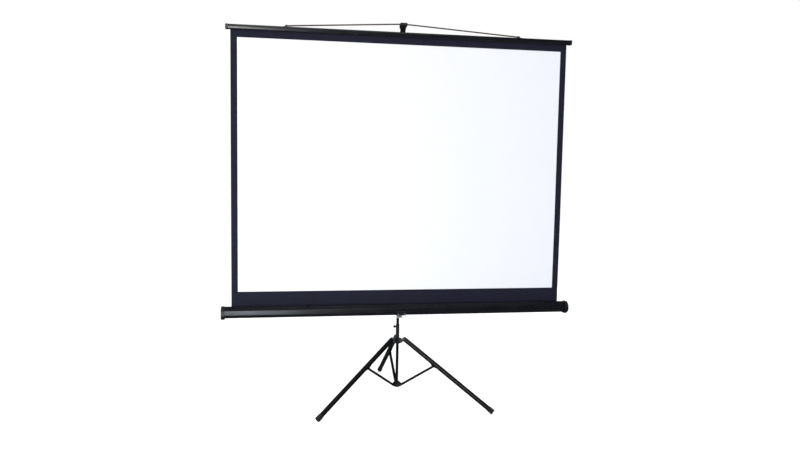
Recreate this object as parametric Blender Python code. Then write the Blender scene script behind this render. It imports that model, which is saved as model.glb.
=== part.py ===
"""A manual projection screen on a folding tripod.

A spring roller in an octagonal case winds the fabric. The top bar hangs by a cord bail from
the hook on an extending mast, and the mast slides in a column that three braced legs carry.
Run it with: blender --background --python part.py

The screen faces -Y. The floor is z = 0 and the mast stands over x = 0. Lengths are in metres.
"""

import math

import bmesh
import bpy
from mathutils import Matrix, Vector

# Gap that neighbouring pieces keep, and the fit of a pin in its hole
CLEAR = 0.0003

# Picture surface and the black borders round it
PICTURE_WIDTH = 1.7067
PICTURE_HEIGHT = 1.280
SIDE_BORDER = 0.033
TOP_DROP = 0.036
BOTTOM_DROP = 0.0765
FABRIC_THICKNESS = 0.0006

# Octagonal case
CASE_CENTRE_Z = 0.523
CASE_FLATS = 0.057
CASE_WALL = 0.0012
CASE_CORNER = 0.003
CASE_OVERHANG = 0.052
SLOT_WIDTH = 0.005
SLOT_HEM = 0.004
CAP_SKIRT = 0.0045
CAP_CORNER = 0.009
CAP_LENGTH = 0.018
CAP_PLATE = 0.006
CAP_DROP = 0.0025
CAP_EDGE = 0.003

# Spring roller inside the case
ROLLER_RADIUS = 0.0125
ROLLER_WALL = 0.0012
WRAP_THICKNESS = 0.001
PLUG_DEPTH = 0.018
PLUG_FLANGE = 0.003
GUDGEON_RADIUS = 0.004
BOSS_RADIUS = 0.009
BOSS_LENGTH = 0.009
BUSH_WALL = 0.0022
ROLLER_END_PLAY = 0.0005
SPRING_ROD_LENGTH = 0.235
SPRING_RADIUS = 0.008
SPRING_WIRE = 0.001
SPRING_TURNS = 12

# Top bar and its bail
BAR_HEIGHT = 0.024
BAR_DEPTH = 0.020
BAR_CORNER = 0.0025
BAR_WALL = 0.002
BAR_OVERHANG = 0.024
BAR_CAP_LENGTH = 0.014
BAR_CAP_LIP = 0.0005
FABRIC_SETBACK = 0.0065
GROOVE_DEPTH = 0.009
BAIL_RADIUS = 0.0035
BAIL_HALF_SPAN = 0.605
BAIL_RISE = 0.0465
BAIL_ABOVE_BAR = 0.005
BAIL_BEND = 0.020
BAIL_POINTS = 49

# Column, mast and extension: square tubes, each sliding in the one before
COLUMN_SIDE = 0.013
COLUMN_WALL = 0.001
MAST_WALL = 0.0009
EXTENSION_WALL = 0.0009
MAST_LENGTH = 1.0
MAST_OVERLAP = 0.382
EXTENSION_OVERLAP = 0.100
MAST_RISE = 0.30
CLAMP_WALL = 0.0055
CLAMP_HEIGHT = 0.040
CLAMP_SEAT = 0.017

# Mast head: a hook with a groove for the bail
HEAD_WIDTH = 0.024
HEAD_FLARE = 0.004
HEAD_DEPTH_BEHIND = 0.009
HEAD_REACH = 0.045
HEAD_TAIL = 0.0645
HOOK_GROOVE_Y = -0.030
BAIL_SEAT_MARGIN = 0.0000980

# Tripod linkage
LEG_AZIMUTHS = {"rear": 90.0, "left": 210.0, "right": 330.0}
LEG_ANGLE = 55.5
FOLDED_ANGLE = 1.5
LEG_LENGTH = 0.600
LEG_RADIUS = 0.0125
LEG_WALL = 0.001
LEG_STANDOFF = 0.0075
BRACE_PITCH = 0.214
BRACE_WIDTH = 0.013
BRACE_DEPTH = 0.011
BRACE_WALL = 0.0015
PIVOT_REACH = 0.013
PIN_RADIUS = 0.002
PIN_HEAD_RADIUS = 0.0034
PIN_HEAD = 0.0015
SADDLE_SKIN = 0.0012
FOOT_WALL = 0.0015
FOOT_LENGTH = 0.030
FOOT_SOLE = 0.003
FOOT_FLAT = 0.002

# Hubs: an upper collar that slides on the column and a lower hub fixed to it
EAR_THICKNESS = 0.002
EAR_RADIUS = 0.007
EAR_GAP = 0.0005
HUB_WALL = 0.0057
HUB_RECESS = 0.0015
RIVET_GRIP = 0.0012
HUB_BELOW = 0.013
HUB_ABOVE = 0.017
COLLAR_WALL = 0.0017
COLLAR_HEIGHT = 0.092
COLLAR_KNOB_HEIGHT = 0.080
CROWN_HEIGHT = 0.013
CROWN_REACH = 0.001

# Hanger that carries the case in front of the mast
PLATE_WIDTH = 0.029
PLATE_THICKNESS = 0.003
PLATE_DROP = 0.049
PLATE_LIP = 0.026
SWIVEL_GAP = 0.0007
SADDLE_WIDTH = 0.050
SADDLE_THICKNESS = 0.003
SADDLE_FRONT = 0.004
SADDLE_BACK = 0.010
HANGER_HEIGHT = 0.080
HANGER_WIDTH = 0.024
SWIVEL_RADIUS = 0.003
SWIVEL_HEAD = 0.0045
NUT_THICKNESS = 0.004

# Clamp knobs
KNOB_RADIUS = 0.011
KNOB_LENGTH = 0.012
SMALL_KNOB_RADIUS = 0.0075
SMALL_KNOB_LENGTH = 0.010
KNOB_LOBES = 6
KNOB_WAVE = 0.08
STUD_RADIUS = 0.0025
KNOB_BOSS = 0.004

# Sizes worked out from the ones above
FABRIC_WIDTH = PICTURE_WIDTH + 2 * SIDE_BORDER
CASE_TOP_Z = CASE_CENTRE_Z + CASE_FLATS / 2
CAP_FLATS = CASE_FLATS + 2 * CAP_SKIRT
BAR_BASE_Z = CASE_TOP_Z + BOTTOM_DROP + PICTURE_HEIGHT + TOP_DROP
BAR_TOP_Z = BAR_BASE_Z + BAR_HEIGHT
BAIL_END_Z = BAR_TOP_Z + BAIL_ABOVE_BAR
BAIL_APEX_Z = BAIL_END_Z + BAIL_RISE
HEAD_BASE_Z = BAIL_APEX_Z - HEAD_TAIL
CASE_HALF = FABRIC_WIDTH / 2 + CASE_OVERHANG
BAR_HALF = FABRIC_WIDTH / 2 + BAR_OVERHANG

HUB_FLAT = COLUMN_SIDE / 2 + CLEAR + HUB_WALL
HUB_WEB = HUB_FLAT - HUB_RECESS
PIVOT_RADIUS = HUB_WEB + PIVOT_REACH
LEG_OFFSET = LEG_RADIUS + LEG_STANDOFF
RIVET_LENGTH = HUB_WALL + 2 * CLEAR + COLUMN_WALL + RIVET_GRIP
SPREAD = math.radians(LEG_ANGLE)
FOLDED = math.radians(FOLDED_ANGLE)
FOOT_RADIUS = LEG_RADIUS + CLEAR + FOOT_WALL
UPPER_PIVOT_Z = (
    LEG_LENGTH * math.cos(SPREAD)
    + (FOOT_RADIUS - LEG_OFFSET) * math.sin(SPREAD)
    - FOOT_FLAT
)
LOWER_PIVOT_Z = UPPER_PIVOT_Z - 2 * BRACE_PITCH * math.cos(SPREAD)
FOLDED_PIVOT_Z = LOWER_PIVOT_Z + 2 * BRACE_PITCH * math.cos(FOLDED)

BORE = COLUMN_SIDE - 2 * COLUMN_WALL
MAST_SIDE = BORE - 2 * CLEAR
EXTENSION_SIDE = MAST_SIDE - 2 * MAST_WALL - 2 * CLEAR
COLUMN_CLAMP_Z = FOLDED_PIVOT_Z + COLLAR_HEIGHT + 0.006
COLUMN_BASE_Z = LOWER_PIVOT_Z - HUB_BELOW
COLUMN_TOP_Z = COLUMN_CLAMP_Z + CLAMP_SEAT
HANGER_BASE_Z = COLUMN_CLAMP_Z + CLAMP_HEIGHT + CLEAR
MAST_BASE_Z = COLUMN_TOP_Z - MAST_OVERLAP
MAST_TOP_Z = MAST_BASE_Z + MAST_LENGTH
EXTENSION_BASE_Z = MAST_TOP_Z - EXTENSION_OVERLAP
EXTENSION_CLAMP_Z = MAST_TOP_Z - CLAMP_SEAT

# The case hangs far enough forward for the folded legs to pass behind the hanger plate
FOLDED_LEG_FRONT = (PIVOT_RADIUS + LEG_OFFSET) * math.cos(math.radians(60)) + LEG_RADIUS
PLATE_BACK_Y = -(FOLDED_LEG_FRONT + 0.0026)
PLATE_FRONT_Y = PLATE_BACK_Y - PLATE_THICKNESS
SADDLE_BACK_Y = PLATE_FRONT_Y - SWIVEL_GAP
CASE_Y = SADDLE_BACK_Y - SADDLE_THICKNESS - CLEAR - CASE_FLATS / 2
FABRIC_Y = CASE_Y + FABRIC_SETBACK
WRAP_RADIUS = ROLLER_RADIUS + CLEAR + WRAP_THICKNESS
ROLLER_Y = FABRIC_Y - FABRIC_THICKNESS / 2 - CLEAR - WRAP_RADIUS
BOSS_FACE_X = CASE_HALF - CAP_PLATE - BOSS_LENGTH
ROLLER_END_X = BOSS_FACE_X - ROLLER_END_PLAY

SIDES = 16
PIN_SIDES = 12


def foot_reach(azimuth, towards):
    """How far a spread foot reaches along Y from the mast, towards +1 or -1."""
    turn = math.radians(azimuth)
    reach = []
    for along, radius in ((LEG_LENGTH, FOOT_RADIUS - 0.002), (LEG_LENGTH - 0.002, FOOT_RADIUS)):
        for step in range(SIDES):
            angle = 2 * math.pi * step / SIDES
            radial = (
                PIVOT_RADIUS
                + along * math.sin(SPREAD)
                + (LEG_OFFSET + radius * math.cos(angle)) * math.cos(SPREAD)
            )
            sideways = radius * math.sin(angle)
            reach.append(radial * math.sin(turn) + sideways * math.cos(turn))
    return max(reach) if towards > 0 else min(reach)


# The origin lies under the middle of the whole stand, so the mast stands a little behind it
MAST_Y = -(foot_reach(LEG_AZIMUTHS["rear"], 1) + foot_reach(LEG_AZIMUTHS["left"], -1)) / 2


def srgb(red, green, blue):
    """A screen colour, 0 to 255, in linear light."""
    return [
        (c / 255 / 12.92 if c <= 10 else ((c / 255 + 0.055) / 1.055) ** 2.4)
        for c in (red, green, blue)
    ]


def finish(name, colour, roughness, metallic=0.0):
    material = bpy.data.materials.new(name)
    material.use_nodes = True
    shader = material.node_tree.nodes["Principled BSDF"]
    shader.inputs["Base Color"].default_value = (*srgb(*colour), 1)
    shader.inputs["Roughness"].default_value = roughness
    shader.inputs["Metallic"].default_value = metallic
    return material


def make_finishes():
    return {
        "case_paint": finish("case_paint", (24, 26, 33), 0.35, 0.2),
        "bar_paint": finish("bar_paint", (60, 61, 70), 0.35, 0.6),
        "black_plastic": finish("black_plastic", (24, 24, 26), 0.5),
        "leg_paint": finish("leg_paint", (42, 43, 42), 0.4, 0.3),
        "plated_steel": finish("plated_steel", (170, 172, 176), 0.25, 1.0),
        "rubber": finish("rubber", (20, 20, 20), 0.8),
        "screen_fabric": finish("screen_fabric", (246, 247, 250), 0.9),
        "cord": finish("cord", (46, 42, 40), 0.8),
        "grey_plastic": finish("grey_plastic", (96, 98, 100), 0.5),
    }


def clear_scene():
    for obj in list(bpy.data.objects):
        bpy.data.objects.remove(obj, do_unlink=True)


def place_axis(bm, axis):
    """Turn a mesh drawn about Z so that it stands along axis."""
    if axis != "Z":
        turn = Vector((0, 0, 1)).rotation_difference(
            Vector((1, 0, 0) if axis == "X" else (0, 1, 0))
        )
        bmesh.ops.transform(bm, matrix=turn.to_matrix().to_4x4(), verts=bm.verts)
    return bm


def along(axis, a, b, h):
    """The point at height h along axis, with a and b across it."""
    return {"X": (h, a, b), "Y": (a, h, b), "Z": (a, b, h)}[axis]


def prism(outline, lo, hi, axis="Z"):
    """An outline drawn across axis, extruded from lo to hi along it."""
    bm = bmesh.new()
    face = bm.faces.new([bm.verts.new(along(axis, a, b, lo)) for a, b in outline])
    raised = bmesh.ops.extrude_face_region(bm, geom=[face])["geom"]
    verts = [v for v in raised if isinstance(v, bmesh.types.BMVert)]
    bmesh.ops.translate(bm, vec=along(axis, 0, 0, hi - lo), verts=verts)
    return bm


def turned(profile, sides=SIDES, axis="Z", ring=False):
    """A profile of (radius, height) points turned about axis; ring closes it off the axis."""
    bm = bmesh.new()
    verts = [bm.verts.new((r, 0, h)) for r, h in profile]
    edges = [bm.edges.new(pair) for pair in zip(verts, verts[1:])]
    if ring:
        edges.append(bm.edges.new((verts[-1], verts[0])))
    bmesh.ops.spin(
        bm, geom=verts + edges, cent=(0, 0, 0), axis=(0, 0, 1),
        angle=2 * math.pi, steps=sides, use_merge=True,
    )
    bmesh.ops.remove_doubles(bm, verts=bm.verts, dist=1e-6)
    return place_axis(bm, axis)


def rod(radius, lo, hi, sides=SIDES, axis="Z"):
    return turned([(0, lo), (radius, lo), (radius, hi), (0, hi)], sides, axis)


def pipe(outer, inner, lo, hi, sides=SIDES, axis="Z"):
    return turned([(inner, lo), (outer, lo), (outer, hi), (inner, hi)], sides, axis, ring=True)


def rectangle(a0, a1, b0, b1, corner=0.0, steps=2):
    """A rectangle's outline, with round corners if corner is set."""
    if not corner:
        return [(a0, b0), (a1, b0), (a1, b1), (a0, b1)]
    points = []
    middles = [
        (a1 - corner, b1 - corner, 0), (a0 + corner, b1 - corner, 90),
        (a0 + corner, b0 + corner, 180), (a1 - corner, b0 + corner, 270),
    ]
    for a, b, start in middles:
        for step in range(steps + 1):
            angle = math.radians(start + 90 * step / steps)
            points.append((a + corner * math.cos(angle), b + corner * math.sin(angle)))
    return points


def square(side, corner=0.0, steps=2):
    return rectangle(-side / 2, side / 2, -side / 2, side / 2, corner, steps)


def arc(a, b, radius, start, end, steps):
    """Points of an arc about (a, b), from start to end degrees."""
    angles = [math.radians(start + (end - start) * i / steps) for i in range(steps + 1)]
    return [(a + radius * math.cos(t), b + radius * math.sin(t)) for t in angles]


def octagon_corners(flats, corner, steps, wanted=range(8)):
    """The rounded corners of an upright octagon, clockwise from the one at the top rear."""
    reach = (flats / 2 - corner) / math.cos(math.radians(22.5))
    points = []
    for number in wanted:
        way = 67.5 - 45 * number
        a = reach * math.cos(math.radians(way))
        b = reach * math.sin(math.radians(way))
        points += arc(a, b, corner, way + 22.5, way - 22.5, steps)
    return points


def add(name, bm, material, parent, smooth=True, location=(0, 0, 0)):
    """Put a finished mesh in the scene as the piece called name."""
    bmesh.ops.recalc_face_normals(bm, faces=bm.faces)
    mesh = bpy.data.meshes.new(name)
    bm.to_mesh(mesh)
    bm.free()
    if material:
        mesh.materials.append(material)
    if smooth:
        mesh.shade_smooth()
        mesh.set_sharp_from_angle(angle=math.radians(35))
    obj = bpy.data.objects.new(name, mesh)
    obj.parent = parent
    obj.location = location
    bpy.context.collection.objects.link(obj)
    return obj


def tool(name, bm, parent, location=(0, 0, 0)):
    """A mesh that only shapes others."""
    obj = add("tool_" + name, bm, None, parent, smooth=False, location=location)
    obj.hide_render = True
    obj.display_type = "WIRE"
    return obj


def shape(obj, *tools, operation="DIFFERENCE"):
    for cutter in tools:
        modifier = obj.modifiers.new(cutter.name, "BOOLEAN")
        modifier.operation = operation
        modifier.object = cutter
    return obj


def pivot(name, parent, location=(0, 0, 0), turn=(0, 0, 0)):
    """An empty at a joint, whose axes the pieces on it are drawn in."""
    empty = bpy.data.objects.new(name, None)
    empty.empty_display_size = 0.02
    empty.parent = parent
    empty.location = location
    empty.rotation_euler = turn
    bpy.context.collection.objects.link(empty)
    return empty


def pivot_pin(name, half_width, material, parent, location=(0, 0, 0)):
    """A headed pin along Y whose heads lie just outside a joint of that half width."""
    inside = half_width + CLEAR
    outside = inside + PIN_HEAD
    edge = PIN_HEAD_RADIUS - 0.0008
    profile = [
        (0, -outside), (edge, -outside), (PIN_HEAD_RADIUS, -inside - 0.0006),
        (PIN_HEAD_RADIUS, -inside), (PIN_RADIUS, -inside), (PIN_RADIUS, inside),
        (PIN_HEAD_RADIUS, inside), (PIN_HEAD_RADIUS, inside + 0.0006), (edge, outside),
        (0, outside),
    ]
    return add(name, turned(profile, PIN_SIDES, "Y"), material, parent, location=location)


def clamp_knob(name, radius, length, reach, material, parent, turn):
    """A lobed knob with its stud, drawn along the pivot's Z: the stud's tip is at zero."""
    face = reach
    profile = [
        (0, 0), (STUD_RADIUS - 0.0004, 0), (STUD_RADIUS, 0.0006), (STUD_RADIUS, face),
        (radius * 0.62, face), (radius * 0.66, face + length * 0.25),
        (radius, face + length * 0.38), (radius, face + length * 0.86),
        (radius * 0.86, face + length), (0, face + length),
    ]
    bm = turned(profile, 4 * KNOB_LOBES)
    for vert in bm.verts:
        distance = vert.co.xy.length
        if distance > radius * 0.8:
            wave = 1 - KNOB_WAVE * (1 - math.cos(KNOB_LOBES * math.atan2(vert.co.y, vert.co.x)))
            vert.co.x *= wave
            vert.co.y *= wave
    obj = add(name, bm, material, parent)
    obj.rotation_euler = turn
    return obj


def hub_outline():
    """Three clevises round the column, as seen from above, with a flat between each two."""
    inner = BRACE_WIDTH / 2 + EAR_GAP
    outer = inner + EAR_THICKNESS
    tip = PIVOT_RADIUS + EAR_RADIUS + 0.001
    notch = 2 * (HUB_FLAT - outer * math.sin(math.radians(60)))
    fork = [
        (notch, -outer), (tip, -outer), (tip, -inner), (HUB_WEB, -inner),
        (HUB_WEB, inner), (tip, inner), (tip, outer), (notch, outer),
    ]
    points = []
    for azimuth in LEG_AZIMUTHS.values():
        c, s = math.cos(math.radians(azimuth)), math.sin(math.radians(azimuth))
        points += [(r * c - t * s, r * s + t * c) for r, t in fork]
    return points


def hub_rim(crowned):
    """The turned form that rounds the clevis ears; a crown carries them on above their pins."""
    if crowned:
        ears = [*arc(PIVOT_RADIUS, 0, EAR_RADIUS, -90, 30, 5),
                (PIVOT_RADIUS - CROWN_REACH, CROWN_HEIGHT), (HUB_FLAT + 0.003, HUB_ABOVE)]
    else:
        ears = [*arc(PIVOT_RADIUS, 0, EAR_RADIUS, -90, 90, 6), (HUB_FLAT + 0.001, HUB_ABOVE)]
    return [(0, -HUB_BELOW), (HUB_FLAT + 0.001, -HUB_BELOW), *ears, (0, HUB_ABOVE)]


def pin_holes(name, parent, height):
    """Cylinders along all three clevis pins, as one cutting tool."""
    bm = bmesh.new()
    for azimuth in LEG_AZIMUTHS.values():
        hole = rod(PIN_RADIUS + CLEAR, -0.013, 0.013, PIN_SIDES, "Y")
        mesh = bpy.data.meshes.new("hole")
        hole.to_mesh(mesh)
        hole.free()
        mesh.transform(
            Matrix.Rotation(math.radians(azimuth), 4, "Z")
            @ Matrix.Translation((PIVOT_RADIUS, 0, 0))
        )
        bm.from_mesh(mesh)
        bpy.data.meshes.remove(mesh)
    return tool(name, bm, parent, (0, 0, height))


def build_hub(name, height, material, parent, crowned=False):
    """The clevis ring shared by the lower hub and the sliding collar."""
    hub = add(name, prism(hub_outline(), -HUB_BELOW - 0.001, HUB_ABOVE + 0.001), material,
              parent, location=(0, 0, height))
    rim = tool(name + "_rim", turned(hub_rim(crowned), 48), parent, (0, 0, height))
    return shape(hub, rim, operation="INTERSECT")


def build_column(finishes, mast):
    """The fixed tube, its lower hub and the clamp at its top."""
    tube = add("column_tube", prism(square(COLUMN_SIDE, 0.0012, 1), COLUMN_BASE_Z, COLUMN_TOP_Z),
               finishes["leg_paint"], mast, smooth=False)
    shape(tube, tool("column_bore", prism(square(BORE), COLUMN_BASE_Z - 0.01,
                                          COLUMN_TOP_Z + 0.01), mast))

    hub = build_hub("lower_hub", LOWER_PIVOT_Z, finishes["black_plastic"], mast)
    seat = tool("lower_hub_bore", prism(square(COLUMN_SIDE + 2 * CLEAR), -0.03, 0.03), mast,
                (0, 0, LOWER_PIVOT_Z))
    shape(hub, seat, pin_holes("lower_pin_holes", mast, LOWER_PIVOT_Z))

    # The blind rivet that ties the hub to the column, in the flat that faces the front
    head = HUB_FLAT + CLEAR
    rivet = [(0, -RIVET_LENGTH), (PIN_RADIUS, -RIVET_LENGTH), (PIN_RADIUS, 0), (0.0033, 0),
             (0.0030, 0.0012), (0.0016, 0.0019), (0, 0.0019)]
    piece = add("hub_rivet", turned(rivet, PIN_SIDES), finishes["plated_steel"], mast,
                location=(0, -head, LOWER_PIVOT_Z))
    piece.rotation_euler = (math.pi / 2, 0, 0)
    hole = tool("rivet_hole", rod(PIN_RADIUS + CLEAR, -0.012, 0.004, PIN_SIDES), mast,
                (0, -head, LOWER_PIVOT_Z))
    hole.rotation_euler = (math.pi / 2, 0, 0)
    shape(hub, hole)
    shape(tube, hole)


def tube_clamp(name, base, lower_side, upper_side, finishes, parent):
    """A split-free block seated on a tube's end that grips the next tube with its stud."""
    outer = lower_side + 2 * CLEAR + 2 * CLAMP_WALL
    body = add(name, prism(square(outer, 0.003), base, base + CLAMP_HEIGHT),
               finishes["black_plastic"], parent, smooth=False)
    seat = tool(name + "_seat", prism(square(lower_side + 2 * CLEAR), base - 0.01,
                                      base + CLAMP_SEAT + CLEAR), parent)
    bore = tool(name + "_bore", prism(square(upper_side + 2 * CLEAR), base,
                                      base + CLAMP_HEIGHT + 0.01), parent)
    height = base + (CLAMP_SEAT + CLAMP_HEIGHT) / 2
    hole = tool(name + "_stud_hole", rod(STUD_RADIUS + CLEAR, 0, outer, PIN_SIDES, "Y"), parent,
                (0, 0, height))
    shape(body, seat, bore, hole)
    return outer, height


def build_clamps(finishes, mast):
    """Both tube clamps with their knobs, which face the rear."""
    knob_turn = (-math.pi / 2, 0, 0)
    for label, base, lower, upper in (
        ("column", COLUMN_CLAMP_Z, COLUMN_SIDE, MAST_SIDE),
        ("extension", EXTENSION_CLAMP_Z, MAST_SIDE, EXTENSION_SIDE),
    ):
        outer, height = tube_clamp(label + "_clamp", base, lower, upper, finishes, mast)
        tip = upper / 2 + CLEAR
        axis = pivot(label + "_knob_axis", mast, (0, tip, height))
        clamp_knob(label + "_knob", KNOB_RADIUS, KNOB_LENGTH, outer / 2 + CLEAR - tip,
                   finishes["black_plastic"], axis, knob_turn)


def build_collar(finishes, mast):
    """The sliding collar, its sleeve and the small knob that locks the tripod open."""
    collar = build_hub("leg_collar", UPPER_PIVOT_Z, finishes["black_plastic"], mast,
                        crowned=True)
    outer = COLUMN_SIDE + 2 * CLEAR + 2 * COLLAR_WALL
    knob_z = UPPER_PIVOT_Z + COLLAR_KNOB_HEIGHT
    sleeve = tool("collar_sleeve", prism(square(outer, 0.0015), -HUB_BELOW + 0.001,
                                         COLLAR_HEIGHT), mast, (0, 0, UPPER_PIVOT_Z))
    boss = tool("collar_boss", rod(STUD_RADIUS + 0.0025, -outer / 2 - KNOB_BOSS, -outer / 2 + 0.001,
                                   SIDES, "X"), mast, (0, 0, knob_z))
    shape(collar, sleeve, boss, operation="UNION")
    bore = tool("collar_bore", prism(square(COLUMN_SIDE + 2 * CLEAR), -0.03,
                                     COLLAR_HEIGHT + 0.01), mast, (0, 0, UPPER_PIVOT_Z))
    hole = tool("collar_stud_hole", rod(STUD_RADIUS + CLEAR, -0.03, 0, PIN_SIDES, "X"), mast,
                (0, 0, knob_z))
    shape(collar, bore, pin_holes("upper_pin_holes", mast, UPPER_PIVOT_Z), hole)

    tip = COLUMN_SIDE / 2 + CLEAR
    axis = pivot("collar_knob_axis", mast, (-tip, 0, knob_z))
    clamp_knob("collar_knob", SMALL_KNOB_RADIUS, SMALL_KNOB_LENGTH,
               outer / 2 + KNOB_BOSS + CLEAR - tip, finishes["black_plastic"], axis,
               (0, -math.pi / 2, 0))


def build_brace(side, finishes, hinge):
    """A channel brace drawn from its lower pin up local Z; its open side faces local X."""
    depth, length = BRACE_DEPTH / 2, BRACE_PITCH
    outline = arc(0, 0, depth, 180, 360, 6) + arc(0, length, depth, 0, 180, 6)
    brace = add("brace_" + side, prism(outline, -BRACE_WIDTH / 2, BRACE_WIDTH / 2, "Y"),
                finishes["leg_paint"], hinge)
    web, cut_back, far = depth - BRACE_WALL, 0.008, 0.02
    channel = [
        (-far, -far), (-far, cut_back), (-web, cut_back), (-web, length - cut_back),
        (-far, length - cut_back), (-far, length + far), (far, length + far), (far, -far),
    ]
    inside = BRACE_WIDTH / 2 - BRACE_WALL
    trough = tool("channel_" + side, prism(channel, -inside, inside, "Y"), hinge)
    holes = [
        tool(f"{end}_hole_{side}", rod(PIN_RADIUS + CLEAR, -0.01, 0.01, PIN_SIDES, "Y"), hinge,
             (0, 0, height))
        for end, height in (("low", 0), ("high", length))
    ]
    shape(brace, trough, *holes)
    pivot_pin("middle_pin_" + side, BRACE_WIDTH / 2, finishes["plated_steel"], hinge,
              (0, 0, length))


def build_leg_top(side, finishes, hinge):
    """The tongue on the collar's pin, with the plug that fills the leg's upper end."""
    half = BRACE_WIDTH / 2 + EAR_GAP - CLEAR
    start = BRACE_PITCH - 0.0055
    nose = arc(0, BRACE_PITCH, EAR_RADIUS - 0.0005, 200, 340, 6)
    tongue = [
        *nose, (LEG_OFFSET - 0.009, start + 0.001), (LEG_OFFSET + 0.008, start + 0.001),
        (LEG_OFFSET + 0.0085, start + 0.0055), (LEG_OFFSET + 0.003, start + 0.0115),
        (LEG_OFFSET - 0.009, start + 0.0125),
        *arc(0, BRACE_PITCH, EAR_RADIUS - 0.0005, 70, 160, 4),
    ]
    top = add("leg_top_" + side, prism(tongue, -half, half, "Y"), finishes["grey_plastic"], hinge)
    plug_radius = LEG_RADIUS - LEG_WALL - CLEAR
    plug = tool("leg_plug_" + side, turned([
        (0, start - 0.024), (plug_radius - 0.0015, start - 0.024), (plug_radius, start - 0.022),
        (plug_radius, start), (LEG_RADIUS, start), (LEG_RADIUS, start + 0.0025),
        (LEG_RADIUS - 0.001, start + 0.0035), (0, start + 0.0035),
    ]), hinge, (LEG_OFFSET, 0, 0))
    shape(top, plug, operation="UNION")
    shape(top, tool("leg_top_hole_" + side, rod(PIN_RADIUS + CLEAR, -0.01, 0.01, PIN_SIDES, "Y"),
                    hinge, (0, 0, BRACE_PITCH)))
    return start


def build_leg_lug(side, finishes, hinge):
    """The saddle riveted under the leg tube, whose tongue holds the brace's upper pin."""
    half = BRACE_WIDTH / 2 - BRACE_WALL - CLEAR
    nose, skin = 0.0045, LEG_RADIUS + CLEAR + SADDLE_SKIN
    tongue = [*arc(0, 0, nose, 100, 260, 6), (LEG_OFFSET - LEG_RADIUS, -0.013),
              (LEG_OFFSET - LEG_RADIUS, 0.013)]
    lug = add("leg_lug_" + side, prism(tongue, -half, half, "Y"), finishes["leg_paint"], hinge)
    shell = [*arc(LEG_OFFSET, 0, skin, 115, 245, 8),
             *arc(LEG_OFFSET, 0, LEG_RADIUS - 0.002, 245, 115, 8)]
    saddle = tool("leg_saddle_" + side, prism(shell, -0.019, 0.019), hinge)
    shape(lug, saddle, operation="UNION")
    seat = tool("leg_seat_" + side, rod(LEG_RADIUS + CLEAR, -0.03, 0.03), hinge,
                (LEG_OFFSET, 0, 0))
    hole = tool("leg_lug_hole_" + side, rod(PIN_RADIUS + CLEAR, -0.01, 0.01, PIN_SIDES, "Y"),
                hinge)
    shape(lug, seat, hole)


def build_foot(side, finishes, hinge, floor):
    """The rubber cap on a leg's end, cut flat where it stands on the floor."""
    end = BRACE_PITCH - LEG_LENGTH
    bore = LEG_RADIUS + CLEAR
    foot = add("foot_" + side, turned([
        (0, end), (FOOT_RADIUS - 0.002, end), (FOOT_RADIUS, end + 0.002),
        (FOOT_RADIUS, end + FOOT_LENGTH - 0.001), (FOOT_RADIUS - 0.001, end + FOOT_LENGTH),
        (bore, end + FOOT_LENGTH), (bore, end + FOOT_SOLE), (0, end + FOOT_SOLE),
    ]), finishes["rubber"], hinge, location=(LEG_OFFSET, 0, 0))
    shape(foot, floor)
    return end + FOOT_SOLE + CLEAR


def build_tripod(finishes, mast):
    """Three legs with their braces, each on pivots about its own radial plane."""
    floor = tool("floor", prism(square(2 * LEG_LENGTH + 0.4), -0.1, 0), mast)
    ear = BRACE_WIDTH / 2 + EAR_GAP + EAR_THICKNESS
    for side, azimuth in LEG_AZIMUTHS.items():
        plane = pivot(side + "_plane", mast, turn=(0, 0, math.radians(azimuth)))
        pivot_pin("lower_pin_" + side, ear, finishes["plated_steel"], plane,
                  (PIVOT_RADIUS, 0, LOWER_PIVOT_Z))
        pivot_pin("upper_pin_" + side, ear, finishes["plated_steel"], plane,
                  (PIVOT_RADIUS, 0, UPPER_PIVOT_Z))
        brace_hinge = pivot(side + "_brace_hinge", plane, (PIVOT_RADIUS, 0, LOWER_PIVOT_Z),
                            (0, SPREAD, 0))
        build_brace(side, finishes, brace_hinge)
        middle = (PIVOT_RADIUS + BRACE_PITCH * math.sin(SPREAD), 0,
                  LOWER_PIVOT_Z + BRACE_PITCH * math.cos(SPREAD))
        leg_hinge = pivot(side + "_leg_hinge", plane, middle, (0, -SPREAD, 0))
        tube_top = build_leg_top(side, finishes, leg_hinge) - CLEAR
        build_leg_lug(side, finishes, leg_hinge)
        tube_end = build_foot(side, finishes, leg_hinge, floor)
        add("leg_tube_" + side,
            pipe(LEG_RADIUS, LEG_RADIUS - LEG_WALL, tube_end, tube_top),
            finishes["leg_paint"], leg_hinge, location=(LEG_OFFSET, 0, 0))


def square_tube(name, side, wall, base, top, material, parent):
    tube = add(name, prism(square(side), base, top), material, parent, smooth=False)
    return shape(tube, tool(name + "_bore", prism(square(side - 2 * wall), base - 0.01,
                                                  top + 0.01), parent))


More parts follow.
